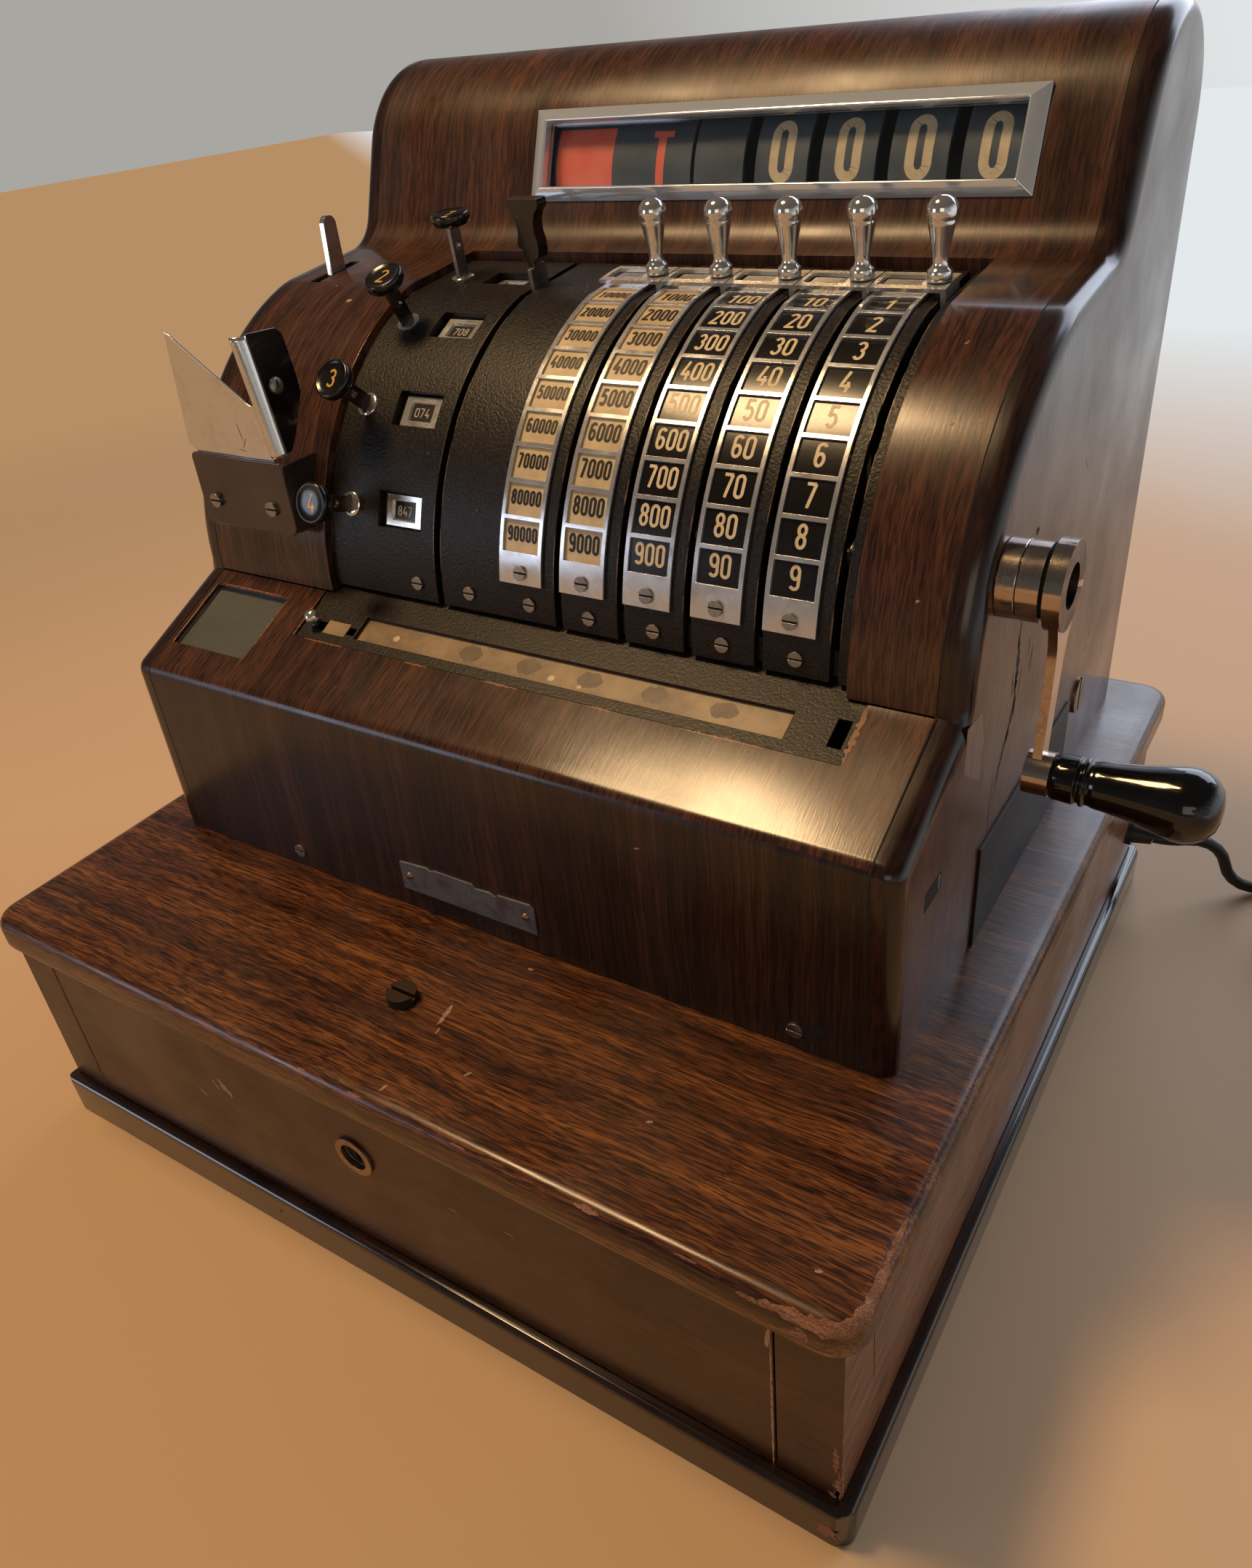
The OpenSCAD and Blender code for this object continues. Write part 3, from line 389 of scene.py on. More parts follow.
FRONT = Veneer(
    "walnut_drawer_front", grain=Grain.ALONG_X, dark="#200e08", body="#361a10", light="#4d2a18", streak=3.2,
    length=90, gloss=0.3, contrast=0.85, pore=0.6, coat=0.15
)
# Worn wood: pale matt fibres where the varnish is gone, along the board's front edge also a painted
# highlight, and near-black gaps at the joints; the same near-black is painted shade in slots, keyholes and
# screw slots
BARE_WOOD_AND_EDGE_HIGHLIGHT = Veneer(
    "bare_wood_and_painted_edge_highlight", grain=Grain.ALONG_X, dark="#6e4632", body="#93644a", light="#b78766", streak=0.8,
    length=6, gloss=0.7, coat=0.0
)
RUBBED = Plain("rubbed_wood_edge", colour="#6b4027", second="#8f5c38", rough=0.35, grit=1.0, patch=6)
SCARRED = Plain("pale_scarred_wood", colour="#8a6a50", second="#b39274", rough=0.55, patch=2)
DARK_GAP_AND_SLOT_SHADE = Plain("dark_gaps_and_painted_slot_shade", colour="#070505", second="#0d0908", rough=0.8, grit=1.0, patch=6)
# Ebonised moulding: black stain under a hard polish that mirrors the table
BLACKWOOD = Plain(
    "ebonised_moulding", colour="#130b07", second="#33201a", rough=0.17, grit=1.5, relief=0.02, patch=45,
    coat=0.5
)
# Oiled beech: pale, straight-grained and nearly matt
BEECH = Veneer(
    "oiled_beech", grain=Grain.ALONG_Y, dark="#7a5536", body="#94693f", light="#a97d50", streak=2.5,
    gloss=0.6, coat=0.0, contrast=0.7
)
# Stoved wrinkle enamel: black with a brown cast; its grain of about 0.8 mm is drawn coarser, so that it shows
WRINKLE = Plain(
    "wrinkle_enamel_black", colour="#080706", second="#241d18", rough=0.42, grit=1.3, relief=0.26, patch=50,
    speck=0.6, specular=0.3
)
SLOPE = Plain(
    "wrinkle_enamel_slope", colour="#090706", second="#261c14", rough=0.4, grit=1.2, relief=0.14, patch=40,
    speck=0.5, specular=0.3
)
# Plate edges: enamel rubbed through to a brown ground, also standing for the painted rim light along the
# edges
PLATE_EDGE_WEAR_AND_RIM_LIGHT = Plain("rubbed_enamel_edge_and_painted_rim_light", colour="#4a3a2a", second="#7a6244", rough=0.35, grit=0.8, patch=5)
# Stoved gloss enamel: a smooth brown skin with a soft sheen
BRACKET = Plain(
    "stoved_enamel_brown", colour="#2d211d", second="#43312a", rough=0.24, grit=1.2, relief=0.02, patch=25,
    coat=0.4
)
# Plated metals: nickel is satin, chrome cold and sharp, and warm where brass shows through it
NICKEL = Metal(
    "satin_nickel_plate", colour="#d3d0c9", tarnish="#958e84", rough=0.2, spots=0.12, scratch=0.05,
    metallic=0.75
)
CHROME = Metal(
    "bright_chrome_plate", colour="#e2e0dc", tarnish="#5b5146", rough=0.09, spots=0.3, metallic=0.88
)
WARM_CHROME = Metal("worn_chrome_over_brass", colour="#c4b4a8", tarnish="#54423a", rough=0.13, spots=0.45)
LADDER = Metal(
    "satin_ladder_frame", colour="#d4d4d6", tarnish="#9a9794", rough=0.2, spots=0.15, scratch=0.03,
    metallic=0.74
)
# Bare metals: steel goes brown and rusty, tin and zinc grey and dull
STEEL = Metal("worn_bare_steel", colour="#9a948b", tarnish="#4d453c", rough=0.36, spots=0.5, scratch=0.5)
BLADE = Metal("browned_key_steel", colour="#5b4a3f", tarnish="#2c221c", rough=0.3, spots=0.5)
PIN_STEEL = Metal("rusty_dark_steel", colour="#4a3d34", tarnish="#241a14", rough=0.5, spots=0.7, scratch=0.8)
TIN = Metal("dulled_tin_plate", colour="#8b8d92", tarnish="#4b4744", rough=0.5, spots=0.6, scratch=0.6)
SIDE_TIN = Plain(
    "stained_zinc_sheet", colour="#161716", second="#2a2623", rough=0.42, grit=1.0, relief=0.03, patch=18,
    specular=0.25
)
DARK_IRON = Plain("grey_machine_enamel", colour="#1d1e1e", second="#2b2a2a", rough=0.5, grit=1.0, relief=0.05)
# Cards and figure paints: yellowed ivory, glossy black enamel, and paint that lies matt on them
CREAM = Plain(
    "aged_ivory_card", colour="#bda680", second="#d2bd95", rough=0.42, grit=0.5, relief=0.005, patch=9
)
BLACK_CARD = Plain(
    "black_enamelled_card", colour="#0e0c0a", second="#191511", rough=0.2, grit=0.5, relief=0.005, patch=9
)
INK = Plain("black_figure_ink", colour="#120c09", second="#1b130e", rough=0.5, grit=0.3, patch=4)
CREAM_INK = Plain("cream_figure_paint", colour="#d2bc98", second="#e2d0ae", rough=0.5, grit=0.3, patch=4)
GREY_INK = Plain("grey_counter_figures", colour="#9c9184", second="#b3a798", rough=0.5, grit=0.3, patch=4)
GILT = Plain("gilt_figure_paint", colour="#c08f35", second="#dcae55", rough=0.35, grit=0.3, patch=4)
# Polished bezel chrome: broad planes that mirror the room; a pale blue-white colour with a diffuse share
# paints in that room's brightness
BEZEL = Metal(
    "bezel_chrome_painted_room_reflection", colour="#e4edf8", tarnish="#b4bcc6", rough=0.07, spots=0.1, scratch=0.03,
    metallic=0.62
)
# Phenolic, ebonite and gloss enamel: deep black with narrow bright glints
BAKELITE = Plain(
    "black_phenolic_moulding", colour="#090807", second="#100e0d", rough=0.22, grit=2.0, patch=40, coat=0.2
)
EBONITE = Plain(
    "polished_ebonite", colour="#040404", second="#080707", rough=0.12, grit=2.0, patch=40, coat=0.3
)
ENAMEL = Plain(
    "gloss_black_enamel", colour="#0b0a09", second="#161210", rough=0.16, grit=2.0, patch=25, coat=0.5
)
# Drum and flag paints: flat colour, a little chalky
DRUM = Plain(
    "slate_drum_paint", colour="#3b4550", second="#4c5762", rough=0.5, grit=0.6, relief=0.01, patch=25
)
FLAG = Plain("red_flag_paint", colour="#ea634d", second="#f0826c", rough=0.45, grit=0.5, patch=25)
# Brass scale, card, cord and glass: dulled by grease, matt, matt black, and clear under a little dust
STRIP = Plain(
    "worn_brass_scale", colour="#6f5a44", second="#9a8262", rough=0.35, grit=0.8, patch=18, relief=0.01
)
PANE_CARD = Plain("green_black_card", colour="#191c18", second="#2b2f27", rough=0.6, grit=1.0, patch=25)
RUBBER = Plain("black_cord_rubber", colour="#151515", second="#1f1f1f", rough=0.5, grit=0.5, relief=0.02)
GLASS = Pane("clear_float_glass")


# ---------------------------------------------------------------- meshes
def grid_faces(rows: int, columns: int, wrap_rows: bool = False, wrap_columns: bool = False) -> Array:
    """Quads that join a grid of points numbered row by row.

    Args:
        rows: number of rows.
        columns: number of points in a row.
        wrap_rows: joins the last row to the first.
        wrap_columns: joins each row's end to its start.

    Returns:
        An array of four point numbers per face.
    """
    r = np.arange(rows if wrap_rows else rows - 1)
    c = np.arange(columns if wrap_columns else columns - 1)
    r, c = (a.ravel() for a in np.meshgrid(r, c, indexing="ij"))
    r2, c2 = (r + 1) % rows, (c + 1) % columns
    return np.stack([r * columns + c, r * columns + c2, r2 * columns + c2, r2 * columns + c], axis=1)


@dataclass
class Shape:
    """Points in millimetres and the faces that join them."""

    points: Array
    faces: list[list[int]]

    def joined(self, *others: "Shape") -> "Shape":
        """Returns this shape and others as one, with their faces renumbered.

        Args:
            others: the shapes to add.

        Returns:
            One shape.
        """
        points, faces = [self.points], list(self.faces)
        count = len(self.points)
        for other in others:
            faces += [[i + count for i in f] for f in other.faces]
            points.append(other.points)
            count += len(other.points)
        return Shape(np.concatenate(points), faces)


def join(shapes: Iterable[Shape]) -> Shape:
    """Joins several shapes into one."""
    first, *rest = list(shapes)
    return first.joined(*rest)


def prism(outline: Array, x0: float, x1: float) -> Shape:
    """An outline in (y, z) carried along X: point = (x, y, z) for x in {x0, x1}.

    Args:
        outline: points of the closed outline.
        x0: first end.
        x1: second end.

    Returns:
        A closed shape with an end face on each side.
    """
    n = len(outline)
    ends = [np.column_stack([np.full(n, x), outline]) for x in (x0, x1)]
    sides = grid_faces(2, n, wrap_columns=True)
    return Shape(np.concatenate(ends), sides.tolist() + [list(range(n))[::-1], list(range(n, 2 * n))])


def lathe(profile: Array, origin: Sequence[float], axis: Sequence[float], steps: int = 48) -> Shape:
    """A profile of (radius, height) turned about an axis: point = origin + h axis + r (cos a, sin a).

    Args:
        profile: points from one end of the axis to the other.
        origin: where height is 0, in millimetres.
        axis: direction of the height.
        steps: number of steps in the turn.

    Returns:
        A shape closed where the profile starts and ends on the axis.
    """
    w = Vector(axis).normalized()
    u = w.orthogonal().normalized()
    v = w.cross(u)
    a = np.linspace(0, 2 * np.pi, steps, endpoint=False)
    r, h = np.asarray(profile, float).T
    ring = np.cos(a)[:, None] * np.array(u) + np.sin(a)[:, None] * np.array(v)
    points = np.array(origin) + h[:, None, None] * np.array(w) + r[:, None, None] * ring[None]
    return Shape(points.reshape(-1, 3), grid_faces(len(r), steps, wrap_columns=True).tolist())


def loft(rows: Array, closed: bool = True, caps: bool = True) -> Shape:
    """Rows of points joined one to the next.

    Args:
        rows: array of rows, each with the same number of points.
        closed: whether each row is a loop.
        caps: whether the first and last loops are filled.

    Returns:
        The lofted shape.
    """
    m, n = rows.shape[:2]
    faces = grid_faces(m, n, wrap_columns=closed).tolist()
    if caps:
        faces += [list(range(n))[::-1], list(range((m - 1) * n, m * n))]
    return Shape(rows.reshape(-1, 3), faces)


def sheet(rows: Array) -> Shape:
    """An open sheet over rows of points."""
    return loft(rows, closed=False, caps=False)


def slab(front: Array, back: Array) -> Shape:
    """A closed plate between two outlines with the same number of points.

    Args:
        front: the first outline's points.
        back: the second's.

    Returns:
        The plate.
    """
    n = len(front)
    faces = grid_faces(2, n, wrap_columns=True).tolist()
    return Shape(np.vstack([front, back]), faces + [list(range(n)), list(range(n, 2 * n))[::-1]])


def settle(
    piece: bpy.types.Object,
    finish: Finish,
    body: str,
    bevel: float = 0.0,
    angle: float = 35.0,
    steps: int = 2,
) -> bpy.types.Object:
    """Gives a piece its finish, soft edges and body.

    Args:
        piece: an object whose mesh is in place.
        finish: its surface.
        body: the CAD body that it rides on.
        bevel: width of the soft edge in millimetres, or 0.
        angle: edges sharper than this many degrees stay crisp or get the bevel.
        steps: number of strips in the bevel.

    Returns:
        The piece.
    """
    mesh = piece.data
    mesh.materials.clear()
    mesh.materials.append(finish.material())
    mesh.polygons.foreach_set("use_smooth", np.ones(len(mesh.polygons), bool))
    mesh.set_sharp_from_angle(angle=math.radians(angle))
    if bevel:
        cut = piece.modifiers.new("soft_edge", "BEVEL")
        cut.width = bevel * MM
        cut.segments = steps
        cut.limit_method = "ANGLE"
        cut.angle_limit = math.radians(angle)
        cut.harden_normals = True
        cut.use_clamp_overlap = True
    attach(piece, body)
    LOG.info("%s: %d faces on %s", piece.name, len(mesh.polygons), body)
    return piece


def build(
    name: str,
    shape: Shape,
    finish: Finish,
    body: str = "cabinet",
    bevel: float = 0.0,
    angle: float = 35.0,
    steps: int = 2,
    tidy: bool = True,
) -> bpy.types.Object:
    """Makes a piece from a shape.

    Args:
        name: the piece's name.
        shape: its points and faces, in millimetres.
        finish: its surface.
        body: the CAD body that it rides on.
        bevel: width of the soft edge in millimetres, or 0.
        angle: the sharp angle in degrees.
        steps: number of strips in the bevel.
        tidy: merges doubles and turns all faces outwards.

    Returns:
        The new object.
    """
    mesh = bpy.data.meshes.new(name)
    mesh.from_pydata((shape.points * MM).tolist(), [], shape.faces)
    if tidy:
        work = bmesh.new()
        work.from_mesh(mesh)
        bmesh.ops.remove_doubles(work, verts=work.verts, dist=1e-6)
        bmesh.ops.recalc_face_normals(work, faces=work.faces)
        work.to_mesh(mesh)
        work.free()
    piece = bpy.data.objects.new(name, mesh)
    bpy.context.scene.collection.objects.link(piece)
    return settle(piece, finish, body, bevel, angle, steps)


def refined(
    node: str, finish: Finish, bevel: float = 0.3, angle: float = 30.0, steps: int = 2
) -> bpy.types.Object:
    """A CAD node's own shape with its triangles merged and its edges softened, in place of the node.

    Args:
        node: the node to stand for.
        finish: the surface.
        bevel: width of the soft edge in millimetres.
        angle: the sharp angle in degrees.
        steps: number of strips in the bevel.

    Returns:
        The new piece, which rides on the node's body.
    """
    source = frame["nodes"][node]
    mesh = source.data.copy()
    mesh.name = node + "_soft"
    work = bmesh.new()
    work.from_mesh(mesh)
    bmesh.ops.remove_doubles(work, verts=work.verts, dist=2e-6)
    bmesh.ops.dissolve_degenerate(work, edges=work.edges, dist=1e-6)
    bmesh.ops.dissolve_limit(work, angle_limit=math.radians(0.8), verts=work.verts, edges=work.edges)
    work.to_mesh(mesh)
    work.free()
    held = mesh.attributes.get("custom_normal")
    if held:
        mesh.attributes.remove(held)
    piece = bpy.data.objects.new(node + "_soft", mesh)
    bpy.context.scene.collection.objects.link(piece)
    settle(piece, finish, source["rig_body"], bevel, angle, steps)
    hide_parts(node)
    return piece


def dress(node: str, finish: Finish) -> None:
    """Gives a CAD node that stays its finish.

    Args:
        node: the node's name.
        finish: the surface.
    """
    mesh = frame["nodes"][node].data
    mesh.materials.clear()
    mesh.materials.append(finish.material())


def faces_where(piece: bpy.types.Object, where: Test) -> Array:
    """Tests every face of a piece by its middle in millimetres and its normal.

    Args:
        piece: the piece, in its own node.
        where: takes middles and normals, gives a truth per face.

    Returns:
        A truth for each face.
    """
    mesh = piece.data
    count = len(mesh.polygons)
    middle, normal = np.empty(3 * count), np.empty(3 * count)
    mesh.polygons.foreach_get("center", middle)
    mesh.polygons.foreach_get("normal", normal)
    return np.asarray(where(middle.reshape(-1, 3) / MM, normal.reshape(-1, 3)))


def paint(piece: bpy.types.Object, finish: Finish, where: Test) -> None:
    """Gives the faces for which where(middles, normals) holds another finish.

    Args:
        piece: the piece to dress.
        finish: the second finish.
        where: the test of faces_where.
    """
    mesh = piece.data
    chosen = faces_where(piece, where)
    index = np.empty(len(mesh.polygons), np.int32)
    mesh.polygons.foreach_get("material_index", index)
    mesh.materials.append(finish.material())
    index[chosen] = len(mesh.materials) - 1
    mesh.polygons.foreach_set("material_index", index)


def shave(piece: bpy.types.Object, where: Test) -> None:
    """Takes off the faces for which where(middles, normals) holds.

    Args:
        piece: the piece to open.
        where: the test of faces_where.
    """
    chosen = faces_where(piece, where)
    work = bmesh.new()
    work.from_mesh(piece.data)
    work.faces.ensure_lookup_table()
    bmesh.ops.delete(work, geom=[work.faces[int(i)] for i in np.flatnonzero(chosen)], context="FACES")
    work.to_mesh(piece.data)
    work.free()


def plane(origin: Sequence[float], tilt: float) -> Place:
    """Maps (u, v, lift) to a flat face: u is X, v climbs at tilt degrees, lift is square to both.

    Args:
        origin: the point at u = v = lift = 0.
        tilt: degrees from level.

    Returns:
        The map.
    """
    a = math.radians(tilt)

    def place(u: Array, v: Array, lift: float) -> Array:
        """A point of the surface for each (u, v)."""
        y = origin[1] + v * math.cos(a) - lift * math.sin(a)
        z = origin[2] + v * math.sin(a) + lift * math.cos(a)
        return np.stack(np.broadcast_arrays(origin[0] + u, y, z), axis=-1)

    return place


def side_plane(x: float) -> Place:
    """Maps (u, v, lift) to a face square to X: u is Y and v is Z.

    Args:
        x: where the face stands.

    Returns:
        The map.
    """

    def place(u: Array, v: Array, lift: float) -> Array:
        """A point of the surface for each (u, v)."""
        return np.stack(np.broadcast_arrays(x + lift + 0 * u, u, v), axis=-1)

    return place


def sliver(
    place: Place,
    u: float,
    v: float,
    length: float,
    width: float,
    tilt: float = 0.0,
    seed: int = 1,
    ragged: float = 0.5,
    lift: float = 0.05,
) -> Shape:
    """A ragged sliver on a surface: half width w sqrt(1 - (2s/l)^2) at s along it, with random steps.

    Args:
        place: the surface.
        u: middle of the sliver.
        v: middle of the sliver.
        length: its length in millimetres.
        width: its greatest width.
        tilt: its direction in degrees.
        seed: start of its random steps.
        ragged: size of the steps as a share of the width.
        lift: height above the surface.

    Returns:
        An open ribbon.
    """
    rng = np.random.default_rng(seed)
    n = int(np.clip(length / max(width, 0.4) * 2, 9, 60))
    s = np.linspace(-0.5, 0.5, n) * length
    swell = np.sqrt(np.clip(1 - (2 * s / length) ** 2, 0.02, 1))
    half = 0.5 * width * swell * (1 + ragged * rng.uniform(-1, 1, n))
    middle = 0.35 * width * ragged * rng.uniform(-1, 1, n)
    across = middle + np.linspace(1, -1, 7)[:, None] * half
    c, d = math.cos(math.radians(tilt)), math.sin(math.radians(tilt))
    points = place(u + s * c - across * d, v + s * d + across * c, lift)
    return Shape(points.reshape(-1, 3), grid_faces(7, n)[:, ::-1].tolist())


def slivers(place: Place, rows: Sequence[Sequence[float]]) -> list[Shape]:
    """Slivers on one surface: each row holds what sliver takes after place."""
    return [sliver(place, *row) for row in rows]


def quad(place: Place, u0: float, u1: float, v0: float, v1: float, lift: float, steps: int = 1) -> Shape:
    """A flat patch from (u0, v0) to (u1, v1) on a surface."""
    u, v = np.meshgrid([u0, u1], np.linspace(v0, v1, steps + 1))
    return sheet(place(u, v, lift))


def border(
    place: Place, outer: tuple[float, float], inner: tuple[float, float], low: float, high: float,
    lip: float = 0.6
) -> Shape:
    """A mitred border on a surface: outer side, flat top and a slope down to the opening.

    Args:
        place: the surface.
        outer: half width and half height outside.
        inner: the same of the opening.
        low: lift of the edges.
        high: lift of the flat top.
        lip: width of the slope.

    Returns:
        The open ring, mitred at its four corners.
    """

    def loop(w: float, h: float, lift: float) -> Array:
        """A rectangle of half width w and half height h."""
        return place(np.array([-w, w, w, -w]), np.array([-h, -h, h, h]), lift)

    rows = [
        loop(*outer, low), loop(*outer, high), loop(inner[0] + lip, inner[1] + lip, high), loop(*inner, low)
    ]
    return loft(np.array(rows), closed=True, caps=False)


def arc(centre: Sequence[float], radius: float, start: float, end: float, steps: int) -> Array:
    """Points c + r (cos a, sin a) for a from start to end degrees."""
    a = np.radians(np.linspace(start, end, steps + 1))
    return np.column_stack([centre[0] + radius * np.cos(a), centre[1] + radius * np.sin(a)])


# ---------------------------------------------------------------- the register's governing form
@dataclass(frozen=True)
class CabinetForm:
    """Sizes in millimetres that every sub-assembly shares, and the keyboard surface itself."""

    deck: float = 138.0
    cab_x: float = 205.0
    cheek: float = 12.0
    front_y: float = -126.6
    rear_y: float = 210.8
    ridge_z: float = 237.0
    ridge_r: float = 8.0
    axis: tuple[float, float] = (63.4, 265.6)
    radius: float = 129.0
    crest: float = 74.0
    flat: float = 6.7
    lip_y: float = 79.4
    top_z: float = 479.3
    hollow_r: float = 22.0
    hood_r: float = 55.0
    face: float = 68.8
    pitch: float = 32.3
    step: float = 7.07
    drop: float = 3.8
    rest: float = 82.5

    @property
    def lip_angle(self) -> float:
        """Angle of the seam between keyboard and hood."""
        return 90 + math.degrees(math.atan2(self.lip_y - self.axis[0], self.radius))

    def reach(self, depth: Array | float, angle: Array | float) -> Array:
        """Radius of the surface offset by depth at an angle from the level front.

        Args:
            depth: distance outside the wood, negative inside.
            angle: degrees; past the crest the surface runs on as a gently rising flat.

        Returns:
            Distance from the quadrant's axis.
        """
        t, f, c = np.radians(angle), math.radians(self.flat), math.radians(self.crest)
        rest = math.sin(f) * self.radius * math.cos(c) + math.cos(f) * self.radius * math.sin(c)
        flat = (rest + depth) / (math.sin(f) * np.cos(t) + math.cos(f) * np.sin(t))
        return np.where(np.asarray(angle) <= self.crest, self.radius + depth, flat)

    def surface(self, depth: Array | float, angle: Array | float) -> Array:
        """(y, z) of the offset surface: axis + reach (-cos a, sin a)."""
        r, t = self.reach(depth, angle), np.radians(angle)
        return np.stack([self.axis[0] - r * np.cos(t), self.axis[1] + r * np.sin(t)], axis=-1)

    def slope(self) -> tuple[Array, float]:
        """Crease point at the slope's top and the slope's angle in degrees."""
        crease = np.array([self.axis[0] - self.radius, self.axis[1]])
        return crease, math.degrees(math.atan2(self.axis[1] - self.ridge_z, crease[0] - self.front_y))

    def front_path(self, d: float, n: int = 8) -> Array:
        """Front outline offset outwards by d: up the front, round the ridge, up the slope.

        Args:
            d: offset in millimetres.
            n: points on the ridge.

        Returns:
            Points (y, z).
        """
        crease, a = self.slope()
        r = math.radians(a)
        centre = (self.front_y + self.ridge_r, self.ridge_z - self.ridge_r * (1 - math.sin(r)) / math.cos(r))
        top = crease + d * np.array([-math.sin(r), math.cos(r)])
        return np.vstack([[self.front_y - d, self.deck], arc(centre, self.ridge_r + d, 180, 90 + a, n), top])

    def key_path(self, d: float, a0: float, a1: float, n: int = 40) -> Array:
        """Keyboard outline offset outwards by d between two angles."""
        return self.surface(d, np.linspace(a0, a1, n + 1))

    def hood_points(self) -> dict[str, Array]:
        """Centres and tangent points of the hood's hollow, face, front bend and rear bend.

        Returns:
            Points (y, z) by name.
        """
        f, a = math.radians(self.flat), math.radians(self.face)
        lip = self.surface(0.0, self.lip_angle)
        hollow = lip + self.hollow_r * np.array([-math.sin(f), math.cos(f)])
        bend = hollow + self.hollow_r * np.array([math.sin(a), -math.cos(a)])
        length = (self.top_z - self.hood_r * (1 - math.cos(a)) - bend[1]) / math.sin(a)
        end = bend + length * np.array([math.cos(a), math.sin(a)])
        hood = end + self.hood_r * np.array([math.sin(a), -math.cos(a)])
        rear_r = self.rear_y - hood[0]
        return {
            "hollow": hollow, "bend": bend, "end": end, "hood": hood,
            "rear": np.array([hood[0], self.top_z - rear_r])
        }

    def hood_path(self, d: float, n: int = 14) -> Array:
        """Hood outline offset outwards by d: hollow, straight face, front bend, rear bend.

        Args:
            d: offset in millimetres.
            n: points on each bend.

        Returns:
            Points (y, z).
        """
        p = self.hood_points()
        rear_r = self.rear_y - p["hood"][0]
        return np.vstack(
            [
                arc(p["hollow"], self.hollow_r - d, self.flat - 90, self.face - 90, n),
                arc(p["hood"], self.hood_r + d, self.face + 90, 90, n),
                arc(p["rear"], rear_r + d, 90, 0, n + 4)[1:],
            ]
        )

    def cheek_path(self, d: float) -> Array:
        """The whole cheek's outline offset outwards by d.

        Args:
            d: offset in millimetres.

        Returns:
            Points (y, z) of a closed outline.
        """
        rear = np.array([[self.rear_y + d, self.deck]])
        return np.vstack(
            [self.front_path(d), self.key_path(d, 2.0, self.lip_angle - 1), self.hood_path(d), rear]
        )

    def strip_x(self, k: int) -> float:
        """Left edge of figure strip k, counted from 1."""
        return -9.0 + self.pitch * (k - 1)

    def slot_x(self, k: int) -> float:
        """Middle of lever slot k."""
        return self.strip_x(k) + 30.3


FORM = CabinetForm()


